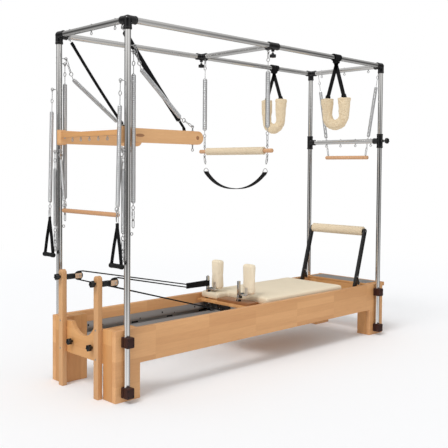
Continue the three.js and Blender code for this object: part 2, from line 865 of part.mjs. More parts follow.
// End frames: the tube across the top with a three-way connector at each corner
function arch(end) {
  const x = end.sign * postX;
  const z = railHeight;
  const bore = tubeRadius + gap;
  const stop = tubeStop - gap;
  const inward = -end.sign;
  const solids = [rod(at(x, -postY, z), at(x, postY, z), tubeRadius, tubeSides)];
  const cuts = [rod(at(x, -postY, z), at(x, postY, z), tubeRadius - tubeWall, tubeSides)];
  for (const { sign } of sides) {
    const y = sign * postY;
    const dome = new THREE.SphereGeometry(socketRadius, tubeSides, curveSteps).translate(x, y, z);
    solids.push(
      solidOf(dome),
      rod(at(x, y, z - socketReach), at(x, y, z), socketRadius, tubeSides),
      rod(at(x + inward * socketReach, y, z), at(x, y, z), socketRadius, tubeSides),
      rod(at(x, y - sign * socketReach, z), at(x, y, z), socketRadius, tubeSides),
    );
    cuts.push(
      rod(at(x, y, z - socketReach - overrun), at(x, y, z - stop), bore, tubeSides),
      rod(at(x, y, z - tubeStop - overrun), at(x, y, z), ventRadius, rodSides),
      rod(at(x + inward * (socketReach + overrun), y, z), at(x + inward * stop, y, z), bore, tubeSides),
    );
  }
  const eyes = [-archEyeY, 0, archEyeY].map(y => hangingEye(x, y, z));
  if (end.sign < 0) {
    eyes.push(hangingEye(x, -strapEyeY, z));
  } else {
    for (const { sign } of sides) {
      const centre = at(endBarX - eyeRadius, sign * endBarEyeY, endBarEyeZ);
      eyes.push(eye(centre, zAxis, at(x, sign * endBarEyeY, endBarEyeZ)));
    }
  }
  return join(cut(join(solids, eyes), cuts));
}

// An eye under a tube that runs along Y; its lowest wire takes a hook that swings along the table
function hangingEye(x, y, tubeZ) {
  const centre = at(x, y, tubeZ - tubeRadius - shankLength - eyeRadius);
  return eye(centre, xAxis, at(x, y, tubeZ - tubeRadius + tubeWall / 2));
}

function topRail({ sign }) {
  const reach = postX - tubeStop;
  const [from, to] = [at(-reach, sign * postY, railHeight), at(reach, sign * postY, railHeight)];
  return hollowTube(from, to);
}

function hollowTube(from, to) {
  const inner = tubeRadius - tubeWall;
  const length = from.distanceTo(to);
  const profile = [[inner, 0], [tubeRadius, 0], [tubeRadius, length], [inner, length], [inner, 0]];
  return turned(profile, from, to);
}

// Crossbars: a tube along Y between two sleeves that slide on a pair of tubes
function crossbar({ x, z, along, sleeveLength, knobs, eyes }) {
  const inner = tubeRadius - tubeWall;
  const solids = [rod(at(x, -postY, z), at(x, postY, z), tubeRadius, tubeSides)];
  const cuts = [rod(at(x, -postY, z), at(x, postY, z), inner, tubeSides)];
  for (const { sign } of sides) {
    const centre = at(x, sign * postY, z);
    const half = along.clone().multiplyScalar(sleeveLength / 2);
    const past = along.clone().multiplyScalar(sleeveLength / 2 + overrun);
    solids.push(
      rod(centre.clone().sub(half), centre.clone().add(half), sleeveRadius, tubeSides),
      rod(at(x, sign * (postY - socketReach), z), centre, socketRadius, tubeSides),
    );
    cuts.push(rod(centre.clone().sub(past), centre.clone().add(past), tubeRadius + slideGap, tubeSides));
  }
  for (const { root, face } of knobs) {
    const out = face.clone().sub(root).normalize();
    const boss = root.clone().addScaledVector(out, bossReach);
    solids.push(rod(root.clone().addScaledVector(out, tubeRadius + slideGap + weld), boss, bossRadius));
    cuts.push(rod(root, boss.clone().addScaledVector(out, overrun), knobStudRadius + gap));
  }
  return cut(join(solids, eyes), cuts);
}

// Where each clamping knob sits, from the axis of the tube that it presses on
const knobFaceZ = railHeight - tubeKnobReach;
const tubeKnobs = {
  near: { root: at(-crossbarX, -postY, railHeight), face: at(-crossbarX, -postY, knobFaceZ) },
  far: { root: at(-crossbarX, postY, railHeight), face: at(-crossbarX, postY, knobFaceZ) },
  end: { root: at(postX, -postY, endBarHeight), face: at(postX, -postY - tubeKnobReach, endBarHeight) },
};

function tubeKnob({ root, face }) {
  const out = face.clone().sub(root).normalize();
  return knob(root.clone().addScaledVector(out, tubeRadius + gap), face, tubeKnobRadius, tubeKnobLength);
}

// Carriage: a board on wheel brackets, with the hook plate for the springs under it
function carriageBoard() {
  const solids = [
    block(
      [-carriageHead, carriageFoot],
      [-carriageHalfWidth, carriageHalfWidth],
      [carriageBoardFoot, carriageBoardTop],
    ),
    block(
      [hookPlateX, hookPlateX + hookPlateThickness],
      [-hookPlateHalfWidth, hookPlateHalfWidth],
      [springBarZ - springBarHeight / 2, carriageBoardFoot + weld],
    ),
    block(
      [-padHead, padNotchX - weld],
      [-notchPlateEnd, padNotchY - weld],
      [carriageBoardTop - weld, carriageBoardTop + notchPlateThickness],
    ),
    block(
      [-carriageHead, -carriageHead + ropeLugThickness],
      [-ropeLugHalfWidth, ropeLugHalfWidth],
      [ropeLugFoot, carriageBoardFoot + weld],
    ),
  ];
  const holes = [];
  for (const x of [-headWheelX, footWheelX]) {
    for (const { sign } of sides) {
      const ys = [sign * bracketY, sign * (bracketY + bracketThickness)];
      const xs = [x - bracketLength / 2, x + bracketLength / 2];
      solids.push(block(xs, ys, [carriageBoardFoot - bracketDrop, carriageBoardFoot + weld]));
      holes.push(rod(
        at(x, sign * (bracketY - overrun), wheelAxleZ),
        at(x, sign * (bracketY + bracketThickness + overrun), wheelAxleZ),
        bearing(axleRadius),
      ));
    }
  }
  return cut(join(solids), holes);
}

function wheelset(x) {
  const reach = wheelY + wheelWidth / 2;
  const wheels = sides.map(({ sign }) => rod(
    at(x, sign * (wheelY - wheelWidth / 2), wheelAxleZ),
    at(x, sign * reach, wheelAxleZ),
    wheelRadius,
    tubeSides,
  ));
  return join(rod(at(x, -reach, wheelAxleZ), at(x, reach, wheelAxleZ), axleRadius), wheels);
}

function carriagePad() {
  const foot = carriageBoardTop + gap;
  const body = cushion(
    [-padHead, padFoot],
    [-padHalfWidth, padHalfWidth],
    [foot, padTop],
    {
      edge: padEdge,
      crown: padCrownShare * (padTop - foot),
      draw: padDrawShare * padHalfWidth,
      steps: [8, 4, 3],
    },
  );
  const zs = [foot - overrun, padTop + overrun];
  const notch = block([-padHead - overrun, padNotchX], [-padHalfWidth - overrun, padNotchY], zs);
  const half = restPostSize / 2 + gap;
  const y = restPostY(1);
  return cut(body, notch, block([-restPostX - half, -restPostX + half], [y - half, y + half], zs));
}

// The near rest stands on the plate in the pad's notch, the far one on the board through a hole in the pad
function shoulderRest({ sign }) {
  const y = sign * restY;
  const postCentre = restPostY(sign);
  const half = restPostSize / 2;
  const postFootZ = carriageBoardTop + gap + (sign < 0 ? notchPlateThickness : 0);
  return join(
    cushion(
      [-restX - restLength / 2, -restX + restLength / 2],
      [y - restWidth / 2, y + restWidth / 2],
      [restFoot, restTop],
      { edge: restEdge, crown: restCrownShare * restLength, draw: 0, steps: [3, 4, 6] },
    ),
    block(
      [-restPostX - half, -restPostX + half],
      [postCentre - half, postCentre + half],
      [postFootZ, restPostTop],
    ),
    block(
      [-restPostX - half, -restX + restLength / 4],
      [y - half, postCentre + half],
      [restFoot - restPlateThickness, restFoot + weld],
    ),
  );
}

// Footbar: two flat arms on pivots with a padded tube between them
function footbarFrame() {
  const [pivot, head] = [[footbarPivotX, footbarPivotZ], [footbarX, footbarZ]];
  const solids = [
    rod(at(head[0], -footbarArmY, head[1]), at(head[0], footbarArmY, head[1]), footbarTubeRadius, tubeSides),
  ];
  for (const { sign } of sides) {
    const y = sign * footbarArmY;
    const [inner, outer] = [y - sign * footbarArmThickness / 2, y + sign * footbarArmThickness / 2];
    const foot = at(pivot[0], y, pivot[1]);
    const top = at(head[0], y, head[1]);
    const braceTop = foot.clone().lerp(top, braceHeadShare);
    const braceFoot = at(braceFootX, y, braceFootZ);
    solids.push(
      strap(foot, top, footbarArmThickness, footbarArmWidth, yAxis),
      rod(at(pivot[0], inner, pivot[1]), at(pivot[0], outer, pivot[1]), footbarArmWidth / 2, tubeSides),
      rod(at(head[0], inner, head[1]), at(head[0], outer, head[1]), footbarArmWidth / 2, tubeSides),
      rod(
        at(pivot[0], inner, pivot[1]),
        at(pivot[0], sign * (boardInner - gap), pivot[1]),
        footbarPivotRadius,
      ),
      strap(braceTop, braceFoot, footbarArmThickness, braceWidth, yAxis),
    );
  }
  return join(solids);
}

function footbarPad() {
  const bore = footbarTubeRadius + gap;
  const length = 2 * footbarPadHalfWidth;
  const edge = footbarPadRadius / 4;
  const profile = [
    [bore, 0], [footbarPadRadius - edge, 0], [footbarPadRadius, edge], [footbarPadRadius, length - edge],
    [footbarPadRadius - edge, length], [bore, length], [bore, 0],
  ];
  const from = at(footbarX, -footbarPadHalfWidth, footbarZ);
  return turned(profile, from, at(footbarX, footbarPadHalfWidth, footbarZ));
}

// Push frame: wooden arms on pivot blocks, a crosspiece with its eyes, and a dowel near the free end
function pushFrame() {
  const armInner = pushArmY - pushArmThickness / 2;
  const armOuter = pushArmY + pushArmThickness / 2;
  const crossX = [-postX - pushCrossThickness + weld, -postX + weld];
  const crossFoot = pushCrossTop - pushCrossHeight;
  const solids = [
    block(crossX, [-armInner - weld, armInner + weld], [crossFoot, pushCrossTop]),
    rod(
      at(-pushDowelX, -armInner - weld, pushPivotZ),
      at(-pushDowelX, armInner + weld, pushPivotZ),
      pushDowelRadius,
    ),
  ];
  for (let i = -2; i <= 2; i += 1) {
    const x = (crossX[0] + crossX[1]) / 2;
    const centre = at(x, i * pushCrossEyeY, crossFoot - shankLength - eyeRadius);
    solids.push(eye(centre, xAxis, at(x, i * pushCrossEyeY, crossFoot + weld)));
  }
  for (const { sign } of sides) {
    const shape = new THREE.Shape();
    const headX = -postX - pushBlockHalfLength;
    const endX = -pushArmEnd - pushArmHalfHeight;
    shape.moveTo(headX, pushPivotZ - pushArmHalfHeight);
    shape.lineTo(endX, pushPivotZ - pushArmHalfHeight);
    shape.absarc(endX, pushPivotZ, pushArmHalfHeight, -Math.PI / 2, Math.PI / 2);
    shape.lineTo(headX, pushPivotZ + pushArmHalfHeight);
    const y = sign * pushArmY;
    solids.push(
      slabAlongY(shape, [sign * armInner, sign * armOuter]),
      block(
        [headX, -postX + pushBlockHalfLength],
        [sign * (armOuter - weld), sign * (postSurface - gap)],
        [pushPivotZ - pushBlockHalfHeight, pushPivotZ + pushBlockHalfHeight],
      ),
      rod(
        at(-postX, sign * armOuter, pushPivotZ),
        at(-postX, sign * (postY - gap), pushPivotZ),
        pushPinRadius,
      ),
      rod(
        at(-eyeboltX, y, eyeboltFoot + eyeRadius),
        at(-eyeboltX, y, eyeboltHead - eyeRadius),
        eyeboltRadius,
      ),
      ring(at(-eyeboltX, y, eyeboltHead), yAxis),
      ring(at(-eyeboltX, y, eyeboltFoot), yAxis),
    );
  }
  return join(solids);
}

function bandRoundTube(centre, axis, height, thickness) {
  const inner = bearing(tubeRadius, tubeSides);
  const outer = inner + thickness;
  const start = centre.clone().addScaledVector(axis, -height / 2);
  const profile = [[inner, 0], [outer, 0], [outer, height], [inner, height], [inner, 0]];
  return turned(profile, start, centre.clone().addScaledVector(axis, height / 2));
}

// A strap from an eye under the head arch down to the inner face of the arm
function pushStrap({ sign }) {
  const armTop = pushPivotZ + pushArmHalfHeight;
  const armY = sign * (pushArmY - pushArmThickness / 2 - gap - strapThickness / 2);
  const top = at(-postX, sign < 0 ? -strapEyeY : archEyeY, railHeight - underTubeHook);
  const foot = at(-pushStrapFootX, armY, armTop + strapWidth / 2);
  const along = foot.clone().sub(top).normalize();
  const head = top.clone().addScaledVector(along, hookRadius + 2 * shankLength);
  return join(
    hook(top, yAxis),
    wire(top.clone().addScaledVector(along, hookRadius), head.clone().addScaledVector(along, weld)),
    strap(head, foot, strapWidth, strapThickness, xAxis),
    block(
      [foot.x - strapWidth / 2, foot.x + strapWidth / 2],
      [armY - strapThickness / 2, armY + strapThickness / 2],
      [pushPivotZ, foot.z],
    ),
  );
}

// The spring hangs slack: a steep lead, its coil, then a flat lead to the eyebolt
function pushSpring({ sign }) {
  const postEye = at(-postX + pushEyeReach, sign * postY, pushSpringEyeZ);
  const armEye = at(-eyeboltX, sign * pushArmY, eyeboltHead);
  const fallen = ({ along, fall }) => {
    const place = postEye.clone().lerp(armEye, along);
    return place.setZ(postEye.z - fall * (postEye.z - armEye.z));
  };
  const [head, foot] = [pushHeadShares, pushFootShares].map(fallen);
  const lead = head.clone().sub(postEye).normalize();
  const tail = armEye.clone().sub(foot).normalize();
  const pull = eyeRadius * Math.cos(Math.PI / ringSteps);
  const from = postEye.addScaledVector(lead, pull);
  const to = armEye.addScaledVector(tail, -pull);
  const start = from.clone().addScaledVector(lead, hookRadius);
  const stop = to.clone().addScaledVector(tail, -hookRadius);
  const coil = coilPoints(head, foot, pushSpringRadius - pushWire, pushCurls, pushLead);
  const points = [start, ...coil, stop];
  coilGaps.push(leastCoilGap(points, pushWire));
  return join(
    tubeThrough(points, pushWire, curlSides),
    hook(from, new THREE.Vector3().crossVectors(lead, yAxis).normalize()),
    hook(to, new THREE.Vector3().crossVectors(tail, yAxis).normalize()),
  );
}

// Hanging spring chains. Each is drawn on one line, by heights, from the hook in its eye
function chainLine(top, lean, leanAcross = 0) {
  return z => at(top.x + lean * (top.z - z), top.y + leanAcross * (top.z - z), z);
}

function springAndRings(line, top, spring, width, normal) {
  const [springTop, springFoot, radius] = spring;
  const upper = (top + springTop) / 2;
  return [
    hook(line(top), normal),
    wire(line(top - hookRadius), line(upper + linkRadius)),
    ring(line(upper), normal, linkRadius),
    wire(line(upper - linkRadius), line(springTop - weld)),
    closedSpring(line(springTop), line(springFoot), radius),
    wire(line(springFoot + weld), line(springFoot - width)),
    ring(line(springFoot - width - linkRadius), normal, linkRadius),
  ];
}

function snapHook(line, top, widthAxis) {
  return longLink(line(top), line(top - carabinerLength), carabinerHalfWidth, widthAxis);
}

function armSpring({ sign }) {
  const x = -postX - armEyeReach;
  const line = chainLine(at(x, sign * postY, armSpringEyeZ), -armSpringLean / (armSpringEyeZ - gripZ));
  const ringFoot = armSpringFoot - 3 * linkRadius;
  const grip = line(gripZ);
  const half = gripLength / 2;
  const strapEnds = [-1, 1].map(way => at(grip.x, grip.y + way * (half - gripRadius / 2), grip.z));
  return join(
    springAndRings(line, armSpringEyeZ, [armSpringTop, armSpringFoot, armSpringRadius], linkRadius, xAxis),
    snapHook(line, ringFoot + wireRadius, yAxis),
    strap(
      line(ringFoot - carabinerLength + 2 * wireRadius),
      line(handleHeadZ - weld),
      carabinerHalfWidth,
      strapThickness,
      xAxis,
    ),
    strapEnds.map(point => (
      strap(line(handleHeadZ), point, 2 * carabinerHalfWidth, handleStrapThickness, xAxis)
    )),
    rod(at(grip.x, grip.y - half, grip.z), at(grip.x, grip.y + half, grip.z), gripRadius),
  );
}

function shortSpring({ sign }) {
  const line = chainLine(at(-postX - shortEyeReach, sign * postY, shortSpringEyeZ), 0);
  const ringFoot = shortSpringFoot - 3 * linkRadius;
  const spring = [shortSpringTop, shortSpringFoot, shortSpringRadius];
  return join(
    springAndRings(line, shortSpringEyeZ, spring, linkRadius, xAxis),
    snapHook(line, ringFoot + wireRadius, yAxis),
    wire(line(ringFoot - carabinerLength + wireRadius), line(shortSpringEnd)),
  );
}

function legSpring({ sign }) {
  const line = chainLine(at(-postX + legEyeReach, sign * postY, legSpringEyeZ), 0);
  const ringFoot = legSpringFoot - 3 * linkRadius;
  return join(
    springAndRings(line, legSpringEyeZ, [legSpringTop, legSpringFoot, legSpringRadius], linkRadius, xAxis),
    longLink(line(ringFoot + wireRadius), line(legSpringEnd), carabinerHalfWidth, yAxis),
  );
}

// A dowel hung by two springs, which slant from their eyes to its ends
function hungBar({ x, eyeY, eyeZ, barY, barZ, halfWidth, radius, spring }) {
  const solids = [rod(at(x, -halfWidth, barZ), at(x, halfWidth, barZ), radius)];
  for (const { sign } of sides) {
    const line = chainLine(at(x, sign * eyeY, eyeZ), 0, (sign * (barY - eyeY)) / (eyeZ - barZ));
    solids.push(
      springAndRings(line, eyeZ, spring, linkRadius, yAxis),
      wire(line(spring[1] - 3 * linkRadius), line(barZ)),
    );
  }
  return join(solids);
}

// Trapeze: two open springs, a padded bar and the sling under it
function trapezeSpring({ sign }) {
  const y = sign * crossbarEyeY;
  const top = at(-crossbarX, y, railHeight - underTubeHook);
  const foot = at(-crossbarX, y, trapezeHookZ);
  const start = top.clone().setZ(top.z - hookRadius);
  const stop = foot.clone().setZ(foot.z + hookRadius);
  const points = coilPoints(start, stop, trapezeSpringRadius - trapezeWire, trapezeCurls, trapezeLead);
  coilGaps.push(leastCoilGap(points, trapezeWire));
  return join(tubeThrough(points, trapezeWire, curlSides), hook(top, yAxis), hook(foot, yAxis));
}

function trapezeBar() {
  const z = trapezeZ;
  const edge = trapezePadRadius / 4;
  const length = 2 * trapezePadHalfWidth;
  const pad = [
    [0, 0], [trapezePadRadius - edge, 0], [trapezePadRadius, edge], [trapezePadRadius, length - edge],
    [trapezePadRadius - edge, length], [0, length],
  ];
  const x = -crossbarX;
  const solids = [
    turned(pad, at(x, -trapezePadHalfWidth, z), at(x, trapezePadHalfWidth, z)),
    rod(at(x, -trapezeDowelHalfWidth, z), at(x, trapezeDowelHalfWidth, z), trapezeDowelRadius),
  ];
  for (const { sign } of sides) {
    const y = sign * crossbarEyeY;
    solids.push(
      eye(at(x, y, trapezeHookZ - eyeRadius), xAxis, at(x, y, z)),
      eye(at(x, y, slingHookZ + eyeRadius), xAxis, at(x, y, z)),
    );
  }
  return join(solids);
}

function trapezeSling() {
  const x = -crossbarX;
  const rise = slingHeadZ - slingFootZ;
  const points = [];
  for (let i = 0; i <= slingSteps; i += 1) {
    const share = (2 * i) / slingSteps - 1;
    points.push([share * slingHalfWidth, slingFootZ + rise * share ** 4]);
  }
  const upper = points.map(([y, z]) => [y, z + slingThickness]).reverse();
  const solids = [slabAlongX(shapeOf([...points, ...upper]), [x - slingLength / 2, x + slingLength / 2])];
  for (const { sign } of sides) {
    const y = sign * crossbarEyeY;
    const end = at(x, sign * (slingHalfWidth - slingThickness / 2), slingHeadZ);
    solids.push(
      hook(at(x, y, slingHookZ), yAxis),
      wire(at(x, y, slingHookZ - hookRadius), end),
    );
  }
  return join(solids);
}

// Fleece loop: a band on the rail, crossed straps and a thick soft U, square to the rail, under them
function fleeceLoop({ sign }) {
  const x = sign < 0 ? fleeceNearX : fleeceFarX;
  const y = sign * postY;
  const bandFoot = railHeight - tubeRadius - gap - fleeceBandThickness / 2;
  const legFoot = fleeceFootZ + fleeceHalf;
  const legShares = Array.from({ length: fleeceSteps + 1 }, (_, i) => {
    const share = (2 * i) / fleeceSteps - 1;
    return { share, up: Math.max(0, 2 * Math.abs(share) - 1) };
  });
  const points = legShares.map(({ share, up }) => (up > 0
    ? at(x, y + Math.sign(share) * (fleeceHalf - fleeceLean * up), legFoot + (fleeceHeadZ - legFoot) * up)
    : at(x, y + fleeceHalf * Math.sin(Math.PI * share), legFoot - fleeceHalf * Math.cos(Math.PI * share))));
  const swell = index => fleeceWidthShare + (fleeceHeadWidthShare - fleeceWidthShare) * legShares[index].up;
  const straps = [-1, 1].map(way => strap(
    at(x, y - (way * fleeceStrapWidth) / 4, bandFoot - fleeceStrapThickness),
    at(x, y + way * (fleeceHalf - fleeceLean), fleeceHeadZ - weld),
    fleeceStrapWidth,
    fleeceStrapThickness,
    yAxis,
  ));
  return join(
    bandRoundTube(at(x, y, railHeight), xAxis, fleeceBandLength, fleeceBandThickness),
    straps,
    tubeThrough(points, fleeceRadius, fleeceSides, swell),
  );
}

// Ropes: from the carriage's front edge round the pulley and back to a strap loop on the far shoulder post
function rope({ sign }) {
  const y = sign * riserY;
  const wrap = pulleyRadius - pulleyGroove + ropeRadius + 2 * gap;
  const loopY = restPostY(1);
  const loopZ = ropeLoopZ + sign * ropeLoopHeight / 2;
  const loopEnd = at(-restPostX - restPostSize / 2 - ropeLoopReach, loopY, loopZ);
  const end = at(-carriageHead - gap, sign * ropeEndY, ropeEndZ);
  const points = [end, end.clone().setX(end.x - 2 * ropeRadius), end.clone().setX(end.x - 4 * ropeRadius)];
  for (let i = 0; i <= tubeSides / 2; i += 1) {
    const angle = -Math.PI / 2 - (2 * Math.PI * i) / tubeSides;
    points.push(at(pulleyX + wrap * Math.cos(angle), y, pulleyHeight + wrap * Math.sin(angle)));
  }
  points.push(
    at(pulleyX + pulleyRadius + ropeRadius, y, pulleyHeight + wrap),
    loopEnd.clone().add(at(weld, 0, 0)),
  );
  const inner = restPostSize / 2 + gap;
  const post = at(-restPostX, loopY, loopZ);
  const loop = [-1, 1].map(way => block(
    [loopEnd.x, post.x + inner + strapThickness],
    [loopY + way * inner, loopY + way * (inner + strapThickness)],
    [loopZ - ropeLoopHeight / 2 + gap, loopZ + ropeLoopHeight / 2 - gap],
  ));
  const bights = [loopEnd.x, post.x + inner].map(x => block(
    [x, x + strapThickness],
    [loopY - inner - strapThickness, loopY + inner + strapThickness],
    [loopZ - ropeLoopHeight / 2 + gap, loopZ + ropeLoopHeight / 2 - gap],
  ));
  return join(tubeThrough(points, ropeRadius, ropeSides), loop, bights);
}

const coilGaps = [];

for (const side of sides) {
  addPart(`side_rail_${side.name}`, sideRail(side), looks.wood);
  for (const end of ends) {
    addPart(`leg_${end.name}_${side.name}`, legBlock(end, side), looks.wood);
    addPart(`post_${end.name}_${side.name}`, post(end, side), looks.steel);
  }
  addPart(`track_${side.name}`, track(side), looks.track);
  addPart(`riser_${side.name}`, riser(side), looks.paleWood);
  addPart(`riser_knob_${side.name}`, riserKnob(side), looks.gloss);
  addPart(`pulley_${side.name}`, pulley(side), looks.tan);
  addPart(`top_rail_${side.name}`, topRail(side), looks.steel);
  addPart(`top_knob_${side.name}`, tubeKnob(tubeKnobs[side.name]), looks.gloss);
  addPart(`shoulder_rest_${side.name}`, shoulderRest(side), looks.vinyl);
  addPart(`push_strap_${side.name}`, pushStrap(side), looks.webbing);
  addPart(`push_spring_${side.name}`, pushSpring(side), looks.spring);
  addPart(`arm_spring_${side.name}`, armSpring(side), looks.spring);
  addPart(`short_spring_${side.name}`, shortSpring(side), looks.spring);
  addPart(`leg_spring_${side.name}`, legSpring(side), looks.spring);
  addPart(`trapeze_spring_${side.name}`, trapezeSpring(side), looks.spring);
  addPart(`fleece_loop_${side.name}`, fleeceLoop(side), looks.fleece);
  addPart(`rope_${side.name}`, rope(side), looks.webbing);
}

addPart('head_board', headBoard(), looks.wood);
addPart('standing_platform', standingPlatform(), looks.wood);
addPart('spring_bank', springBank(), looks.spring);
addPart('head_arch', arch(ends[0]), looks.gloss);
addPart('foot_arch', arch(ends[1]), looks.gloss);

addPart('top_crossbar', crossbar({
  x: -crossbarX,
  z: railHeight,
  along: xAxis,
  sleeveLength: crossbarSleeve,
  knobs: [tubeKnobs.near, tubeKnobs.far],
  eyes: sides.map(({ sign }) => hangingEye(-crossbarX, sign * crossbarEyeY, railHeight)),
}), looks.steel);

addPart('end_crossbar', crossbar({
  x: postX,
  z: endBarHeight,
  along: zAxis,
  sleeveLength: endBarSleeve,
  knobs: [tubeKnobs.end],
  eyes: [-1.5, -0.5, 0.5, 1.5].map(step => (
    hangingEye(postX, step * endCrossbarEyeGap - endCrossbarEyeShift, endBarHeight)
  )),
}), looks.steel);

addPart('end_knob', tubeKnob(tubeKnobs.end), looks.gloss);
addPart('carriage_board', carriageBoard(), looks.wood);
addPart('carriage_pad', carriagePad(), looks.vinyl);
addPart('wheelset_head', wheelset(-headWheelX), looks.gloss);
addPart('wheelset_foot', wheelset(footWheelX), looks.gloss);
addPart('footbar_frame', footbarFrame(), looks.steel);
addPart('footbar_pad', footbarPad(), looks.vinyl);
addPart('push_frame', pushFrame(), looks.paleWood);

addPart('roll_down_bar', hungBar({
  x: -rollX,
  eyeY: rollEyeY,
  eyeZ: rollEyeZ,
  barY: rollBarEyeY,
  barZ: rollBarZ,
  halfWidth: rollBarHalfWidth,
  radius: rollBarRadius,
  spring: [rollSpringTop, rollSpringFoot, rollSpringRadius],
}), looks.dowel);

addPart('end_bar', hungBar({
  x: endBarX,
  eyeY: endBarEyeY,
  eyeZ: endBarEyeZ,
  barY: hangBarEyeY,
  barZ: hangBarZ,
  halfWidth: hangBarHalfWidth,
  radius: hangBarRadius,
  spring: [hangSpringTop, hangSpringFoot, hangSpringRadius],
}), looks.dowel);

addPart('trapeze_bar', trapezeBar(), looks.vinyl);
addPart('trapeze_sling', trapezeSling(), looks.webbing);

// The origin is the middle of the table's box, on the floor
const box = new THREE.Box3().setFromObject(group);
const middle = box.getCenter(at());
group.position.set(-middle.x, -middle.y, -box.min.z);
console.log(`least gap of a coil to itself: ${Math.min(...coilGaps).toFixed(2)} mm`);

export default group;
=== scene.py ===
import bpy
import math
from mathutils import Matrix, Vector


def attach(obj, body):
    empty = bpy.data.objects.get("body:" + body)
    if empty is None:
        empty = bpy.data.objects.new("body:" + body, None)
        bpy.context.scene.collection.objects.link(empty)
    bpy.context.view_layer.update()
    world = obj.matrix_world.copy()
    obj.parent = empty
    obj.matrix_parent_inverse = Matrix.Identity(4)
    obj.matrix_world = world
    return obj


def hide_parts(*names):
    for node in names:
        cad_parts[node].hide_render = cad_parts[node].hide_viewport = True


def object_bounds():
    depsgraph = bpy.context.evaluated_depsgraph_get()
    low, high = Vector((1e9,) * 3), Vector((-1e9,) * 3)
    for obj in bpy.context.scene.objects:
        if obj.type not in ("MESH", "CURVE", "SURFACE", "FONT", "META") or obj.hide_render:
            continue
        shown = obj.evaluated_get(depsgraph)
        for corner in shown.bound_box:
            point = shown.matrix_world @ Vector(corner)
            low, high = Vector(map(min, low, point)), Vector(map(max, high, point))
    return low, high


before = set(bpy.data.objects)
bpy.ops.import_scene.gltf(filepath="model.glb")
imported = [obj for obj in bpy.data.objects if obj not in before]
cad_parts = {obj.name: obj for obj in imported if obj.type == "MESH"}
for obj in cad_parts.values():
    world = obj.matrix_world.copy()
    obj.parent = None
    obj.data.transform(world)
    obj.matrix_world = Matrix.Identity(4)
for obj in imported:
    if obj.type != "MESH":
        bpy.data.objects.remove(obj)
solidBox = [list(corner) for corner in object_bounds()]
shift = Vector((-0.85, 0, 0))  # millimetres, from the drawing's zero to the table's origin
sides = {"near": -1, "far": 1}
axes = {"x": Vector((1, 0, 0)), "y": Vector((0, 1, 0)), "z": Vector((0, 0, 1))}


def at(x, y, z):
    return (Vector((x, y, z)) + shift) / 1000


# Camera, where the photograph was taken from
camera = {"place": (-3587.7, -3523.4, 1295.7), "yaw": 45.616, "pitch": 2.148, "roll": 0.435,
          "lens": 57.92, "film": 36, "shiftY": -0.0633, "sees": 100}


def setCamera():
    yaw, pitch, roll = (math.radians(camera[key]) for key in ("yaw", "pitch", "roll"))
    forward = Vector((math.cos(yaw) * math.cos(pitch), math.sin(yaw) * math.cos(pitch), -math.sin(pitch)))
    level = forward.cross(axes["z"]).normalized()
    upright = level.cross(forward)
    right = level * math.cos(roll) + upright * math.sin(roll)
    up = upright * math.cos(roll) - level * math.sin(roll)
    bpy.ops.object.camera_add(location=at(*camera["place"]))
    eye = bpy.context.object
    eye.rotation_euler = Matrix((right, up, -forward)).transposed().to_euler()
    eye.data.lens = camera["lens"]
    eye.data.sensor_width = camera["film"]
    eye.data.shift_y = camera["shiftY"]
    eye.data.clip_end = camera["sees"]
    bpy.context.scene.camera = eye


setCamera()
print("camera set")


# Small tools for the modelling
def clear():
    bpy.ops.object.select_all(action="DESELECT")


def pick(*objects):
    clear()
    for item in objects:
        item.select_set(True)
    bpy.context.view_layer.objects.active = objects[0]


def settle(piece):
    pick(piece)
    bpy.ops.object.transform_apply(location=True, rotation=True, scale=True)
    return piece


def flat(parts):
    for part in parts:
        if isinstance(part, (list, tuple)):
            yield from flat(part)
        else:
            yield part


def joined(name, *parts):
    found = list(flat(parts))
    pick(*found)
    if len(found) > 1:
        bpy.ops.object.join()
    piece = bpy.context.object
    piece.name = piece.data.name = name
    return piece


def modify(piece, kind, **settings):
    pick(piece)
    modifier = piece.modifiers.new(kind.title(), kind)
    for key, value in settings.items():
        setattr(modifier, key, value)
    bpy.ops.object.modifier_apply(modifier=modifier.name)
    return piece


def rounded(piece, width, segments=2, angle=50):
    return modify(piece, "BEVEL", width=width / 1000, segments=segments, limit_method="ANGLE",
                  angle_limit=math.radians(angle), harden_normals=False)


def fromPoints(corners, edges, faces):
    mesh = bpy.data.meshes.new("part")
    mesh.from_pydata([tuple(corner) for corner in corners], edges, faces)
    piece = bpy.data.objects.new("part", mesh)
    bpy.context.scene.collection.objects.link(piece)
    return piece


def outward(piece, merge=0.00002):
    pick(piece)
    bpy.ops.object.mode_set(mode="EDIT")
    bpy.ops.mesh.select_all(action="SELECT")
    bpy.ops.mesh.remove_doubles(threshold=merge)
    bpy.ops.mesh.normals_make_consistent(inside=False)
    bpy.ops.object.mode_set(mode="OBJECT")
    return piece


def rod(start, end, radius, count=24, edge=0, endRadius=None):
    run = end - start
    clear()
    bpy.ops.mesh.primitive_cone_add(
        vertices=count, radius1=radius / 1000, radius2=(radius if endRadius is None else endRadius) / 1000,
        depth=run.length, location=(start + end) / 2, rotation=run.to_track_quat("Z", "Y").to_euler())
    piece = settle(bpy.context.object)
    return rounded(piece, edge) if edge else piece


def ring(centre, normal, radius, wire, steps=20, count=8):
    clear()
    turn = Vector(normal).to_track_quat("Z", "Y").to_euler()
    bpy.ops.mesh.primitive_torus_add(major_radius=radius / 1000, minor_radius=wire / 1000, major_segments=steps,
                                     minor_segments=count, location=centre, rotation=turn)
    return settle(bpy.context.object)


def ball(centre, radius, count=20):
    clear()
    bpy.ops.mesh.primitive_uv_sphere_add(segments=count, ring_count=count // 2, radius=radius / 1000, location=centre)
    return settle(bpy.context.object)


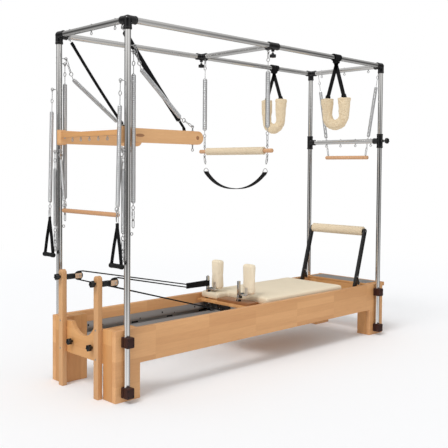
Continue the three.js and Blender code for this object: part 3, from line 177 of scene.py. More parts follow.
def block(xs, ys, zs, edge=2, segments=2):
    low, high = at(xs[0], ys[0], zs[0]), at(xs[1], ys[1], zs[1])
    clear()
    bpy.ops.mesh.primitive_cube_add(size=1, location=(low + high) / 2)
    piece = bpy.context.object
    piece.scale = [abs(size) for size in high - low]
    settle(piece)
    return rounded(piece, edge, segments) if edge else piece


def extruded(corners, run):
    piece = fromPoints(corners, [], [list(range(len(corners)))])
    pick(piece)
    bpy.ops.object.mode_set(mode="EDIT")
    bpy.ops.mesh.select_all(action="SELECT")
    bpy.ops.mesh.extrude_region_move(TRANSFORM_OT_translate={"value": tuple(run)})
    bpy.ops.mesh.select_all(action="SELECT")
    bpy.ops.mesh.normals_make_consistent(inside=False)
    bpy.ops.object.mode_set(mode="OBJECT")
    return piece


def slab(outline, axis, span, edge=2, segments=2):
    # an outline in the two other axes, extruded along the named one
    where = {"x": lambda a, b: at(span[0], a, b), "y": lambda a, b: at(a, span[0], b),
             "z": lambda a, b: at(a, b, span[0])}
    piece = extruded([where[axis](a, b) for a, b in outline], axes[axis] * (span[1] - span[0]) / 1000)
    return rounded(piece, edge, segments, 40) if edge else piece


def prism(outline, start, end, edge=0, segments=2):
    along = (end - start).normalized()
    across = along.orthogonal().normalized()
    up = along.cross(across)
    piece = extruded([start + (across * u + up * w) / 1000 for u, w in outline], end - start)
    return rounded(piece, edge, segments, 40) if edge else piece


def arc(centre, radius, first, last, steps):
    angles = [math.radians(first + (last - first) * i / steps) for i in range(steps + 1)]
    return [(centre[0] + radius * math.cos(angle), centre[1] + radius * math.sin(angle)) for angle in angles]


def turned(profile, start, end, steps=32):
    # a profile of radius and distance along the line, spun round it
    along = (end - start).normalized()
    across = along.orthogonal().normalized()
    corners = [start + (across * radius + along * distance) / 1000 for radius, distance in profile]
    piece = fromPoints(corners, [(i, i + 1) for i in range(len(corners) - 1)], [])
    pick(piece)
    bpy.ops.object.mode_set(mode="EDIT")
    bpy.ops.mesh.select_all(action="SELECT")
    bpy.ops.mesh.spin(steps=steps, angle=2 * math.pi, center=tuple(start), axis=tuple(along))
    bpy.ops.object.mode_set(mode="OBJECT")
    return outward(piece)


def sweep(points, radius, closed=False, resolution=2):
    line = bpy.data.curves.new("sweep", "CURVE")
    line.dimensions = "3D"
    line.bevel_depth = radius / 1000
    line.bevel_resolution = resolution
    line.use_fill_caps = not closed
    spline = line.splines.new("POLY")
    spline.points.add(len(points) - 1)
    for knot, point in zip(spline.points, points):
        knot.co = (*point, 1)
    spline.use_cyclic_u = closed
    piece = bpy.data.objects.new("sweep", line)
    bpy.context.scene.collection.objects.link(piece)
    pick(piece)
    bpy.ops.object.convert(target="MESH")
    return bpy.context.object


def ribbon(points, across, width, thickness, closed=False, edge=0.6):
    # a flat strap through its middle points; its own UV map runs across and along it in metres
    spread = across if isinstance(across, list) else [across] * len(points)
    corners, faces, marks, distance = [], [], [], 0
    for i, (point, side) in enumerate(zip(points, spread)):
        distance += (point - points[i - 1]).length if i else 0
        for way in (-1, 1):
            corners.append(point + side.normalized() * way * width / 2000)
            marks.append((way * width / 2000, distance))
    count = len(points)
    for i in range(count if closed else count - 1):
        a, b = 2 * i, 2 * ((i + 1) % count)
        faces.append([a, a + 1, b + 1, b])
    piece = fromPoints(corners, [], faces)
    layer = piece.data.uv_layers.new(name="UVMap")
    for loop in piece.data.loops:
        layer.data[loop.index].uv = marks[loop.vertex_index]
    modify(piece, "SOLIDIFY", thickness=thickness / 1000, offset=0)
    return rounded(piece, edge, 2, 50) if edge else piece


def coiled(start, end, radius, wire=3.0, turnSteps=12):
    # a close-wound spring with both ends drawn in
    run = end - start
    along = run.normalized()
    across = along.orthogonal().normalized()
    other = along.cross(across)
    turns = int(run.length * 1000 / (wire * 1.04))
    points = []
    for i in range(turns * turnSteps + 1):
        share = i / (turns * turnSteps)
        angle = 2 * math.pi * i / turnSteps
        drawn = min(1, 0.35 + share * turns / 4, 0.35 + (1 - share) * turns / 4)
        reach = (radius - wire / 2) / 1000 * drawn
        points.append(start + run * share + across * reach * math.cos(angle) + other * reach * math.sin(angle))
    return sweep(points, wire / 2, resolution=1)


def stadium(start, end, halfWidth, widthAxis, wire):
    # a long link or snap hook between two points on its middle line
    along = (end - start).normalized()
    side = (widthAxis - along * widthAxis.dot(along)).normalized()
    middle, straight = (start + end) / 2, max((end - start).length / 2 - halfWidth / 1000, 0)
    points = []
    for way, first in ((1, 0), (-1, 180)):
        for i in range(9):
            angle = math.radians(first + 180 * i / 8)
            points.append(middle + along * (way * straight + halfWidth / 1000 * math.sin(angle))
                          + side * halfWidth / 1000 * math.cos(angle))
    return sweep(points, wire, closed=True, resolution=1)


def spun(piece, voxel, passes=6):
    # joins overlapping solids in one skin with soft fillets
    modify(piece, "REMESH", mode="VOXEL", voxel_size=voxel / 1000)
    modify(piece, "SMOOTH", factor=0.5, iterations=passes)
    return piece


# Shader maths: a channel is a socket that takes part in plain sums
class Channel:
    def __init__(self, finish, socket):
        self.finish = finish
        self.socket = socket

    def sum(self, operation, first, second):
        return self.finish.node("ShaderNodeMath", {"operation": operation}, {0: first, 1: second})

    def __add__(self, other):
        return self.sum("ADD", self, other)

    def __rsub__(self, other):
        return self.sum("SUBTRACT", other, self)

    def __mul__(self, other):
        return self.sum("MULTIPLY", self, other)


class Finish:
    def __init__(self, name):
        self.material = bpy.data.materials.new(name)
        self.material.use_nodes = True
        self.tree = self.material.node_tree
        self.tree.nodes.clear()
        self.shader = self.tree.nodes.new("ShaderNodeBsdfPrincipled")
        end = self.tree.nodes.new("ShaderNodeOutputMaterial")
        self.tree.links.new(self.shader.outputs[0], end.inputs[0])

    def feed(self, socket, value):
        if isinstance(value, Channel):
            self.tree.links.new(value.socket, socket)
        elif isinstance(value, (tuple, list)) and len(value) == 3 and socket.type == "RGBA":
            socket.default_value = (*value, 1)
        else:
            socket.default_value = value

    def node(self, kind, settings=None, inputs=None, output=0):
        made = self.tree.nodes.new(kind)
        for key, value in (settings or {}).items():
            setattr(made, key, value)
        for key, value in (inputs or {}).items():
            self.feed(made.inputs[key], value)
        return Channel(self, made.outputs[output])

    def place(self, scale=(1, 1, 1), turn=(0, 0, 0), source=3):
        spot = self.node("ShaderNodeTexCoord", output=source)
        return self.node("ShaderNodeMapping", None, {"Vector": spot, "Scale": scale, "Rotation": turn})

    def noise(self, scale, where=None, detail=3, roughness=0.5, output=0, distortion=0):
        inputs = {"Scale": scale, "Detail": detail, "Roughness": roughness, "Distortion": distortion}
        inputs["Vector"] = where or self.place()
        return self.node("ShaderNodeTexNoise", None, inputs, output)

    def step(self, fac, low, high, first=0.0, last=1.0):
        return self.node("ShaderNodeMapRange", {"clamp": True},
                         {"Value": fac, "From Min": low, "From Max": high, "To Min": first, "To Max": last})

    def mix(self, fac, first, second, blend="MIX"):
        return self.node("ShaderNodeMix", {"data_type": "RGBA", "blend_type": blend}, {0: fac, 6: first, 7: second}, 2)

    def bump(self, height, strength, distance):
        return self.node("ShaderNodeBump", None, {"Height": height, "Strength": strength, "Distance": distance})

    def surface(self, **sockets):
        for key, value in sockets.items():
            label = " ".join(word.capitalize() for word in key.split("_")).replace("Ior", "IOR")
            self.feed(self.shader.inputs[label], value)
        return self.material


def wood(name, along, across, stave=(0.42, 0.046), light=(0.72, 0.385, 0.15), dark=(0.575, 0.27, 0.092)):
    # edge-glued beech: staves of slightly different tone, fine grain along them and short dark flecks
    finish = Finish(name)
    spot = finish.node("ShaderNodeTexCoord", output=3)
    parts = finish.node("ShaderNodeSeparateXYZ", None, {0: spot})
    split = {key: Channel(finish, parts.socket.node.outputs[index]) for index, key in enumerate("xyz")}
    board = finish.node("ShaderNodeCombineXYZ", None, {0: split[along], 1: split[across]})
    tone = finish.node("ShaderNodeTexBrick", {"offset": 0.37, "offset_frequency": 1},
                       {"Vector": board, "Color1": (0, 0, 0), "Color2": (1, 1, 1), "Mortar": (0.1, 0.1, 0.1),
                        "Scale": 1, "Mortar Size": 0.00035, "Mortar Smooth": 0.3, "Bias": 0,
                        "Brick Width": stave[0], "Row Height": stave[1]})
    scale = {key: (5 if key == along else 70) for key in "xyz"}
    grain = finish.noise(1.5, finish.place(tuple(scale.values())), 6, 0.6, distortion=0.4)
    fleck = finish.noise(9, finish.place(tuple(4 if key == along else 90 for key in "xyz")), 2, 0.5)
    broad = finish.noise(3.2, finish.place(tuple(0.5 if key == along else 3 for key in "xyz")), 2, 0.5)
    level = grain * 0.55 + tone * 0.42 + broad * 0.35
    color = finish.mix(finish.step(level, 0.36, 1.0), dark, light)
    color = finish.mix(finish.step(fleck, 0.64, 0.74) * 0.22, color, tuple(0.55 * part for part in dark))
    return finish.surface(base_color=color, roughness=finish.step(grain, 0.2, 0.8, 0.36, 0.5),
                          normal=finish.bump(grain, 0.08, 0.0006), coat_weight=0.12, coat_roughness=0.2)


def metal(name, color, roughness, grain=0.03, scale=(40, 40, 900)):
    finish = Finish(name)
    streak = finish.noise(1, finish.place(scale), 3, 0.6)
    cloud = finish.noise(14, None, 3, 0.55)
    tint = finish.mix(finish.step(cloud, 0.3, 0.7) * 0.12, color, tuple(0.8 * part for part in color))
    return finish.surface(base_color=tint, metallic=1.0,
                          roughness=finish.step(streak, 0.25, 0.75, roughness - grain, roughness + grain))


def plastic(name, color, roughness, grain=0.3, scale=900, level=0.5):
    finish = Finish(name)
    pebble = finish.noise(scale, None, 2, 0.6)
    cloud = finish.noise(20, None, 3, 0.6)
    tint = finish.mix(finish.step(cloud, 0.35, 0.7), color, tuple(min(1, 1.25 * part + 0.002) for part in color))
    return finish.surface(base_color=tint, roughness=finish.step(cloud, 0.3, 0.7, roughness - 0.05, roughness + 0.06),
                          normal=finish.bump(pebble, grain * 0.3, 0.0002), specular_ior_level=level)


def vinyl(name, color):
    # soft upholstery vinyl with a fine pebble and faint creases, and painted shade in the hollows between the pebble
    # cells
    finish = Finish(name)
    cell = finish.node("ShaderNodeTexVoronoi", {"feature": "DISTANCE_TO_EDGE"},
                       {"Vector": finish.place(), "Scale": 520}, 0)
    crease = finish.noise(16, None, 5, 0.6, distortion=0.6)
    broad = finish.noise(5, None, 2, 0.5)
    tint = finish.mix(finish.step(broad, 0.3, 0.7) * 0.5, color, tuple(0.93 * part for part in color))
    pebble = finish.step(cell, 0.0, 0.25)
    # painted shade: darker in the hollows between the pebble cells, where the bump is low
    tint = finish.mix((1 - pebble) * 0.12, tint, tuple(0.8 * part for part in color))
    height = pebble * 0.35 + crease * 0.65
    return finish.surface(base_color=tint, roughness=finish.step(crease, 0.3, 0.7, 0.5, 0.62),
                          normal=finish.bump(height, 0.22, 0.0009))


def webbing(name, color, pitch=0.0022):
    # plain weave on the strap's own map, paler on the raised threads as a painted highlight and paler where it is worn
    finish = Finish(name)
    across, along = (finish.node("ShaderNodeTexWave", {"bands_direction": way}, {
        "Vector": finish.place(source=2), "Scale": 0.16 / pitch, "Distortion": 0.3}) for way in "XY")
    weave = across * along
    worn = finish.noise(60, None, 3, 0.6)
    # painted highlight on the raised threads of the weave, plus real wear from the noise
    tint = finish.mix(weave * 0.6 + worn * 0.25, color, tuple(2.4 * part + 0.003 for part in color))
    return finish.surface(base_color=tint, roughness=0.8, specular_ior_level=0.2,
                          normal=finish.bump(weave, 0.5, 0.0006))


def woolly(name, color, paintedShadeAndTone):
    # sheepskin: curled pile, darker between the tufts as painted shade and lighter on the raised pile as a painted
    # highlight
    finish = Finish(name)
    tuft = finish.node("ShaderNodeTexVoronoi", {"feature": "SMOOTH_F1"},
                       {"Vector": finish.place(), "Scale": 150, "Smoothness": 0.6}, 0)
    pile = finish.noise(420, None, 5, 0.7, distortion=1.2)
    broad = finish.noise(22, None, 3, 0.6)
    # painted shade between the tufts, where the bump sits low, mixed with a random broad tone
    tint = finish.mix(finish.step(tuft, 0.2, 0.75) * 0.75 + broad * 0.3, color, paintedShadeAndTone)
    # painted highlight: lighter where the pile noise raises the bump
    tint = finish.mix(finish.step(pile, 0.35, 0.75) * 0.35, tint, tuple(min(1, 1.12 * part) for part in color))
    height = pile * 0.6 + (1 - tuft) * 0.8
    return finish.surface(base_color=tint, roughness=0.92, normal=finish.bump(height, 0.8, 0.004))


def matFinish(name, color):
    finish = Finish(name)
    fibre = finish.noise(700, None, 4, 0.7)
    return finish.surface(base_color=finish.mix(fibre, color, tuple(1.8 * part for part in color)), roughness=0.9,
                          normal=finish.bump(fibre, 0.5, 0.0008))


beechX = wood("beech along the bed", "x", "z", (0.42, 0.046), (0.78, 0.43, 0.19), (0.625, 0.31, 0.125))
beechTop = wood("beech of the carriage board", "x", "y")
beechZ = wood("beech upright", "z", "x", (0.5, 0.05))
beechY = wood("beech across the bed", "y", "z", (0.34, 0.05))
beechFlat = wood("beech of the platform", "y", "x", (0.34, 0.06))
paleX = wood("pale beech arm", "x", "z", (2.0, 0.3), (0.81, 0.47, 0.22), (0.68, 0.345, 0.14))
paleZ = wood("pale beech riser", "z", "y", (2.0, 0.3), (0.72, 0.43, 0.21), (0.61, 0.32, 0.135))
dowelY = wood("turned dowel", "y", "z", (2.0, 0.3), (0.68, 0.40, 0.22), (0.56, 0.29, 0.135))
platePlain = wood("walnut plate, also painted recess shade", "y", "x", (2.0, 0.3), (0.42, 0.2, 0.085), (0.3, 0.13, 0.05))
polished = metal("polished steel tube", (0.70, 0.69, 0.675), 0.17)
wireSteel = metal("bright wire", (0.60, 0.60, 0.60), 0.28, 0.05, (300, 300, 300))
satinPlate = metal("satin plate", (0.86, 0.80, 0.70), 0.55)
springSteel = metal("spring wire", (0.74, 0.745, 0.75), 0.36, 0.05, (300, 300, 300))
trackSteel = metal("track metal", (0.50, 0.49, 0.48), 0.38, 0.06, (600, 30, 30))
glossBlack = plastic("black moulding", (0.004, 0.004, 0.0045), 0.16, 0.08)
softBlack = plastic("black rubber and painted hole shade", (0.005, 0.005, 0.005), 0.5, 0.6, level=0.3)
armBlack = plastic("black painted steel", (0.007, 0.007, 0.0075), 0.3, 0.15)
clampBrown = plastic("brown clamp moulding", (0.034, 0.010, 0.007), 0.42, 0.5, level=0.3)
tanPlastic = plastic("tan pulley", (0.58, 0.40, 0.26), 0.45, 0.3)
cream = vinyl("cream vinyl", (0.88, 0.765, 0.575))
creamRoller = vinyl("cream vinyl of the rollers", (0.755, 0.62, 0.435))
creamPale = vinyl("cream vinyl of the rests", (0.92, 0.80, 0.60))
blackWeb = webbing("black webbing", (0.0035, 0.0035, 0.004))
ropeWeb = webbing("braided cord", (0.0035, 0.0035, 0.004), 0.0016)
fleeceSkin = woolly("sheepskin", (0.87, 0.74, 0.53), (0.66, 0.50, 0.31))
greyMat = matFinish("grey mat", (0.16, 0.155, 0.15))
print("finishes")


def dress(piece, material, body, nodes=(), angle=40):
    piece.data.materials.clear()
    piece.data.materials.append(material)
    pick(piece)
    bpy.ops.object.shade_smooth_by_angle(angle=math.radians(angle))
    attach(piece, body)
    if nodes:
        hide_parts(*nodes)
    return piece


# Ropes: the carriage's front edge, round the pulley and back to a loop on the far rest's post
ropes = {"radius": 4, "end": (-130.3, 22, 320), "pulley": (-1184.3, 182, 645), "wrap": 24.6, "rim": 26, "steps": 12,
         "loopX": -279, "loopY": 219, "loopZ": 478, "loopHeight": 20, "loopThick": 2.5, "sewn": 60, "sewnHalf": 4,
         "flare": 40, "postX": -80, "postReach": 11.3}


def ropePoints(sign):
    r, (px, py, pz) = ropes["radius"], ropes["pulley"]
    end = Vector((ropes["end"][0], sign * ropes["end"][1], ropes["end"][2]))
    points = [end, end + Vector((-2 * r, 0, 0)), end + Vector((-4 * r, 0, 0))]
    for i in range(ropes["steps"] + 1):
        angle = -math.pi / 2 - math.pi * i / ropes["steps"]
        points.append(Vector((px + ropes["wrap"] * math.cos(angle), sign * py, pz + ropes["wrap"] * math.sin(angle))))
    points.append(Vector((px + ropes["rim"] + r, sign * py, pz + ropes["wrap"])))
    points.append(Vector((ropes["loopX"] + 2, ropes["loopY"], ropes["loopZ"] + sign * ropes["loopHeight"] / 2)))
    return [at(*point) for point in points]


def cordTube(points, radius, count=12):
    # a tube with its own map, round and along, so that the braid follows the cord
    corners, faces, marks, distance = [], [], [], 0
    across = (points[1] - points[0]).normalized().orthogonal().normalized()
    for i, point in enumerate(points):
        before, after = points[max(i - 1, 0)], points[min(i + 1, len(points) - 1)]
        along = (after - before).normalized()
        across = (across - along * across.dot(along)).normalized()
        other = along.cross(across)
        distance += (point - points[i - 1]).length if i else 0
        for j in range(count):
            angle = 2 * math.pi * j / count
            corners.append(point + (across * math.cos(angle) + other * math.sin(angle)) * radius / 1000)
            marks.append((j * 2 * math.pi * radius / count / 1000, distance))
    for i in range(len(points) - 1):
        for j in range(count):
            a, b = i * count + j, i * count + (j + 1) % count
            faces.append([a, b, b + count, a + count])
    last = (len(points) - 1) * count
    faces += [list(range(count))[::-1], [last + j for j in range(count)]]
    piece = fromPoints(corners, [], faces)
    layer = piece.data.uv_layers.new(name="UVMap")
    for loop in piece.data.loops:
        layer.data[loop.index].uv = marks[loop.vertex_index]
    return piece


def makeRope(side, sign):
    r, node = ropes, [f"rope_{side}"]
    points = ropePoints(sign)
    length = sum((b - a).length for a, b in zip(points, points[1:]))
    rope = joined(f"ropeCord.{side}", cordTube(points, r["radius"]))
    dress(rope, ropeWeb, "frame", node, 60)
    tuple(points[0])
    # the sewn loop: two layers side by side, then round the post
    y, z = r["loopY"], r["loopZ"] + sign * r["loopHeight"] / 2
    sewn, flare, reach = r["loopX"] + r["sewn"], r["postX"] - r["flare"], r["postReach"]
    outline = [(r["loopX"] + 2, y - 3), (sewn, y - r["sewnHalf"]), (flare, y - reach + 1)]
    outline += arc((r["postX"], y), reach + 1, -90, 90, 8)
    outline += [(flare, y + reach - 1), (sewn, y + r["sewnHalf"]), (r["loopX"] + 2, y + 3)]
    loop = ribbon([at(x, depth, z) for x, depth in outline], axes["z"], r["loopHeight"] - 1, r["loopThick"])
    half = r["loopHeight"] / 2 - 0.6
    wrap = block([r["loopX"] - 3, sewn - 2], [y - 7, y + 7], [z - half, z + half], 3, 3)
    dress(joined(f"ropeLoop.{side}", loop, wrap), blackWeb, "frame", node)


for side, sign in sides.items():
    makeRope(side, sign)
print("ropes")

# Wooden bed
bed = {"head": 1278, "foot": 1321, "half": 324, "board": 35, "top": 399, "under": 200, "leg": 172, "blockWidth": 82,
       "footBlockTop": 383.7, "headBoard": 30, "headTop": 390, "archRadius": 132, "archCentre": 455, "edge": 3,
       "gap": 0.3}
inner = bed["half"] - bed["board"]
blockOuter = inner - bed["gap"]
blockInner = blockOuter - bed["blockWidth"]
boardHalf = blockInner - bed["gap"]
headLegEnd, footLegEnd = -bed["head"] + bed["leg"], bed["foot"] - bed["leg"]


def makeBed():
    outline = [(-bed["head"], 0), (headLegEnd, 0), (headLegEnd, bed["under"]), (footLegEnd, bed["under"]),
               (footLegEnd, 0), (bed["foot"], 0), (bed["foot"], bed["top"]), (-bed["head"], bed["top"])]
    blocks = {"head": ((-bed["head"], headLegEnd), bed["top"]),
              "foot": ((footLegEnd, bed["foot"]), bed["footBlockTop"])}
    for side, sign in sides.items():
        board = slab(outline, "y", [sign * inner, sign * bed["half"]], bed["edge"], 3)
        dress(joined(f"sideBoard.{side}", board), beechX, "frame", [f"side_rail_{side}"])
        for end, (xs, top) in blocks.items():
            post = block(xs, [sign * blockInner, sign * blockOuter], [0, top], bed["edge"], 3)
            dress(joined(f"legBlock.{end}.{side}", post), beechZ, "frame", [f"leg_{end}_{side}"])
    chord = math.degrees(math.acos((bed["archCentre"] - bed["headTop"]) / bed["archRadius"])) - 90
    shape = [(-boardHalf, bed["under"]), (boardHalf, bed["under"]), (boardHalf, bed["headTop"])]
    shape += arc((0, bed["archCentre"]), bed["archRadius"], chord, -180 - chord, 28) + [(-boardHalf, bed["headTop"])]
    board = slab(shape, "x", [-bed["head"], -bed["head"] + bed["headBoard"]], bed["edge"], 3)
    dress(joined("headBoard", board), beechY, "frame", ["head_board"])


platform = {"top": 402, "deck": 18, "lipDeep": 24, "lipHigh": 30, "apron": 20, "matHead": 14, "matFoot": 12,
            "matSide": 16, "matSunk": 0.5, "matProud": 1.6}


def makePlatform():
    p, top, face = platform, platform["top"], bed["foot"] + bed["gap"]
    deck = block([footLegEnd, face], [-blockOuter, blockOuter], [top - p["deck"], top], 2, 2)
    lip = block([face, face + p["lipDeep"]], [-bed["half"], bed["half"]], [top - p["lipHigh"], top], 4, 3)
    apron = block([footLegEnd, footLegEnd + p["apron"]], [-boardHalf, boardHalf], [bed["under"], top - p["deck"]], 2, 2)
    dress(joined("platformDeck", deck, lip), beechFlat, "frame", ["standing_platform"])
    dress(joined("platformApron", apron), beechY, "frame", ["standing_platform"])
    matHalf = blockOuter - p["matSide"]
    mat = block([footLegEnd + p["matHead"], face - p["matFoot"]], [-matHalf, matHalf],
                [top - p["matSunk"], top + p["matProud"]], 1, 2)
    dress(joined("platformMat", mat), greyMat, "frame")


makeBed()
makePlatform()
print("bed")

# Tracks: the imported rails with their screws, and black discs and slots laid over the fixing holes as painted shade
track = {"lip": blockOuter - 54, "flange": blockOuter - 4, "lead": 60, "pitch": 300, "screwZ": 306, "screw": 6,
         "screwHigh": 2.5, "hole": 4, "holeOn": 110, "holeDrop": 14, "slot": (40, 92), "slotZ": (268, 278),
         "proud": 0.6}


def makeTracks():
    t = track
    for side, sign in sides.items():
        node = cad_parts[f"track_{side}"]
        node.data.materials.clear()
        node.data.materials.append(trackSteel)
        screws, holeShade = [], []
        y, z = sign * t["flange"], t["screwZ"]
        for i in range(int((footLegEnd - headLegEnd) / t["pitch"]) + 1):
            x = headLegEnd + t["lead"] + i * t["pitch"]
            low, high = z - t["holeDrop"], y - sign * t["proud"]
            screws.append(rod(at(x, y, z), at(x, y - sign * t["screwHigh"], z), t["screw"], 16, 0.8))
            # painted shade: a black disc and a black slot laid just proud of the flange, where the fixing holes are
            # dark
            holeShade.append(rod(at(x + t["holeOn"], y, low), at(x + t["holeOn"], high, low), t["hole"], 12))
            holeShade.append(block([x + end for end in t["slot"]], sorted([y, high]), t["slotZ"], 0))
        dress(joined(f"trackScrews.{side}", screws), softBlack, "frame")
        dress(joined(f"trackHoleShade.{side}", holeShade), softBlack, "frame")


makeTracks()

# Carriage springs under the bed, hooked on the bar at the foot end
bank = {"barX": 1126, "barZ": 264.3, "barHalf": 6, "barHigh": 10, "start": 800.3, "radius": 9,
        "rows": (-150, -50, 50, 150), "coilIn": 26, "coilOut": 22, "hookIn": 30, "hookOut": 26, "wire": 2.5,
        "eyeAt": 12, "eye": 7, "eyeWire": 2}


def makeSpringBank():
    b, reach = bank, track["lip"] - bed["gap"]
    start, x, z = b["start"], b["barX"], b["barZ"]
    bar = block([x - b["barHalf"], x + b["barHalf"]], [-reach, reach], [z - b["barHigh"], z + b["barHigh"]], 1.5, 2)
    coils = [coiled(at(start + b["coilIn"], y, z), at(x - b["coilOut"], y, z), b["radius"]) for y in b["rows"]]
    hooks = []
    for y in b["rows"]:
        hooks.append(rod(at(start, y, z), at(start + b["hookIn"], y, z), b["wire"], 10))
        hooks.append(rod(at(x - b["hookOut"], y, z), at(x - 4, y, z), b["wire"], 10))
        hooks.append(ring(at(start + b["eyeAt"], y, z), axes["y"], b["eye"], b["eyeWire"]))
    dress(joined("springBar", bar), armBlack, "frame", ["spring_bank"])
    dress(joined("carriageSprings", coils, hooks), springSteel, "frame", ["spring_bank"])


makeSpringBank()
print("tracks and carriage springs")

# Knobs with lobes, used on the risers and the sliding crossbars
knob = {"lobes": 6, "share": 0.09, "steps": 60, "neck": 7.2, "neckFoot": 11.7, "stud": 4, "dimpleShare": 0.45}


def starKnob(tip, face, radius, length):
    along = (face - tip).normalized()
    seat = face - along * length / 1000
    outline = []
    for i in range(knob["steps"]):
        angle = 2 * math.pi * i / knob["steps"]
        reach = radius * (1 - knob["share"] + knob["share"] * math.cos(knob["lobes"] * angle))
        outline.append((reach * math.cos(angle), reach * math.sin(angle)))
    head = prism(outline, seat, face, 3, 3)
    neck = rod(seat - along * length / 2000, seat + along * 0.002, knob["neck"], 24, 0, knob["neckFoot"])
    dimple = rod(face - along * 0.001, face + along * 0.0004, radius * knob["dimpleShare"], 24, 0.4)
    return [head, neck, dimple], rod(tip, seat, knob["stud"], 12)


# Risers at the head end with their forks, pulleys and knobs
riser = {"y": 182, "width": 42, "depth": 32, "top": 693, "pulleyZ": 645, "pulleyOut": 94, "pulley": 26, "groove": 6,
         "pulleyWidth": 18, "flange": 3.4, "pin": 5, "fork": 4, "forkHeight": 30, "stockGap": 4, "swivel": 30,
         "screwHeights": (390, 225), "screw": 5, "peg": 3, "pegLong": 0.25, "knobZ": 651, "knob": 20,
         "knobLength": 22, "boardKnobY": 103, "boardKnobZ": 275}
riserFace = -bed["head"] - bed["gap"]
riserBack = riserFace - riser["depth"]


def makeRiserPost(side, y):
    halfWide = riser["width"] / 2
    shape = [(y - halfWide, 0), (y + halfWide, 0)] + arc((y, riser["top"] - halfWide), halfWide, 0, 180, 16)
    post = slab(shape, "x", [riserBack, riserFace], 3, 3)
    dress(joined(f"riserPost.{side}", post), paleZ, "frame", [f"riser_{side}"])


def makeFork(side, y):
    px, z, node = riserFace + riser["pulleyOut"], riser["pulleyZ"], [f"riser_{side}"]
    cheek, high = riser["pulleyWidth"] / 2 + bed["gap"], riser["forkHeight"] / 2
    stock = px - riser["pulley"] - riser["stockGap"]
    reach, zs = cheek + riser["fork"], [z - high, z + high]
    cheeks = [block([stock, px + high], sorted([y + way * cheek, y + way * reach]), zs, 2, 3) for way in (-1, 1)]
    dress(joined(f"pulleyCheeks.{side}", cheeks), tanPlastic, "frame", node)
    fork = block([riserFace - 1, stock], [y - reach, y + reach], zs, 2.5, 3)
    swivel = turned([(0, 0), (13, 0), (14, 4), (11, 9), (14, 14), (11, 18), (0, 18)],
                    at(riserFace, y, z), at(riserFace + riser["swivel"], y, z))
    dress(joined(f"pulleyFork.{side}", fork, swivel), glossBlack, "frame", node)
    pin = rod(at(px, y - reach - 2, z), at(px, y + reach + 2, z), riser["pin"], 20, 1)
    screws = [rod(at(riserBack - 1.5, y, low), at(riserBack + 1, y, low), riser["screw"], 16, 0.8)
              for low in riser["screwHeights"]]
    pegZ = riser["screwHeights"][0]
    peg = rod(at(riserFace, y, pegZ), at(riserFace + riser["pegLong"], y, pegZ), riser["peg"], 8)
    dress(joined(f"riserBolts.{side}", pin, screws, peg), wireSteel, "frame", node)


def makePulley(side, y):
    body, r, wide = f"pulley_{side}", riser["pulley"], riser["pulleyWidth"]
    groove, bore = r - riser["groove"], riser["pin"] + bed["gap"]
    px, z, flange = riserFace + riser["pulleyOut"], riser["pulleyZ"], riser["flange"]
    start, end = at(px, y - wide / 2, z), at(px, y + wide / 2, z)
    hub = turned([(bore, 0.4), (groove + 1, 0.4), (groove + 1, 4), (groove, 6), (groove, wide - 6),
                  (groove + 1, wide - 4), (groove + 1, wide - 0.4), (bore, wide - 0.4), (bore, 0.4)], start, end, 36)
    dress(joined(f"pulleyHub.{side}", hub), tanPlastic, body, [body])
    flanges = [turned([(groove - 5, near), (r - 1, near), (r, near + 1), (r, near + 2.2), (groove - 1, near + flange),
                       (groove - 5, near + flange), (groove - 5, near)], start, end, 36) for near in (0, wide - flange)]
    dress(joined(f"pulleyRims.{side}", flanges), softBlack, body, [body])


def makeRiserKnob(side, y):
    body, z = f"riser_knob_{side}", riser["knobZ"]
    face = at(riserBack - riser["knobLength"] * 1.5 - bed["gap"], y, z)
    head, stud = starKnob(at(riserBack + riser["depth"] / 2, y, z), face, riser["knob"], riser["knobLength"])
    dress(joined(f"riserKnob.{side}", head), glossBlack, body, [body])
    dress(joined(f"riserStud.{side}", stud), wireSteel, body, [body])


def makeBoardKnobs():
    heads, studs = [], []
    for sign in sides.values():
        y, z = sign * riser["boardKnobY"], riser["boardKnobZ"]
        tip = at(-bed["head"] + bed["headBoard"] / 2, y, z)
        face = at(-bed["head"] - riser["knobLength"] * 1.5 - bed["gap"], y, z)
        head, stud = starKnob(tip, face, riser["knob"], riser["knobLength"])
        heads += head
        studs.append(stud)
    dress(joined("boardKnobs", heads), glossBlack, "frame", ["head_board"])
    dress(joined("boardKnobStuds", studs), wireSteel, "frame", ["head_board"])


for side, sign in sides.items():
    for make in (makeRiserPost, makeFork, makePulley, makeRiserKnob):
        make(side, sign * riser["y"])
makeBoardKnobs()
print("risers and pulleys")

# Tube frame
tube = {"x": 1216, "y": 346, "height": 2100, "radius": 17.5, "foot": 30, "socket": 23.5, "reach": 55, "stop": 20,
        "railHalf": 1196, "eyeDrop": 33.5, "root": 17, "nut": 4.5, "nutOut": 20.5, "clampHalf": 25, "clampReach": 39,
        "clampHeight": 59, "clampFeet": (28, 308), "clampSplit": 0.6, "boltEdge": 13, "boltApart": 17, "bolt": 4.2,
        "eyes": ((1768, -48), (1393, -30), (1930, 40), (1962, 48), (933, 30)), "rollEye": (-1228, 312.5, 1403),
        "rollRoot": 330, "plugHeights": (1165, 1270, 1590), "plug": 3.2, "plugOut": (17.2, 18.4)}
archEyes = {"head": (-296, -230, 0, 230), "foot": (-230, 0, 230), "nutTop": 21, "endBar": (1252, 300, 8.75), "root": 22}
link = {"wire": 2.5, "eye": 8, "hook": 6.2, "ring": 12, "thin": 2, "narrow": 6}


def eyeBolt(centre, normal, root, nut=True):
    toRoot = (root - centre).normalized()
    edge = centre + toRoot * link["eye"] / 1000
    parts = [ring(centre, normal, link["eye"], link["wire"]), rod(edge, root, link["wire"], 12)]
    if nut:
        parts.append(rod(edge + toRoot * 0.0015, edge + toRoot * 0.0045, 5, 6, 0.4))
    return parts


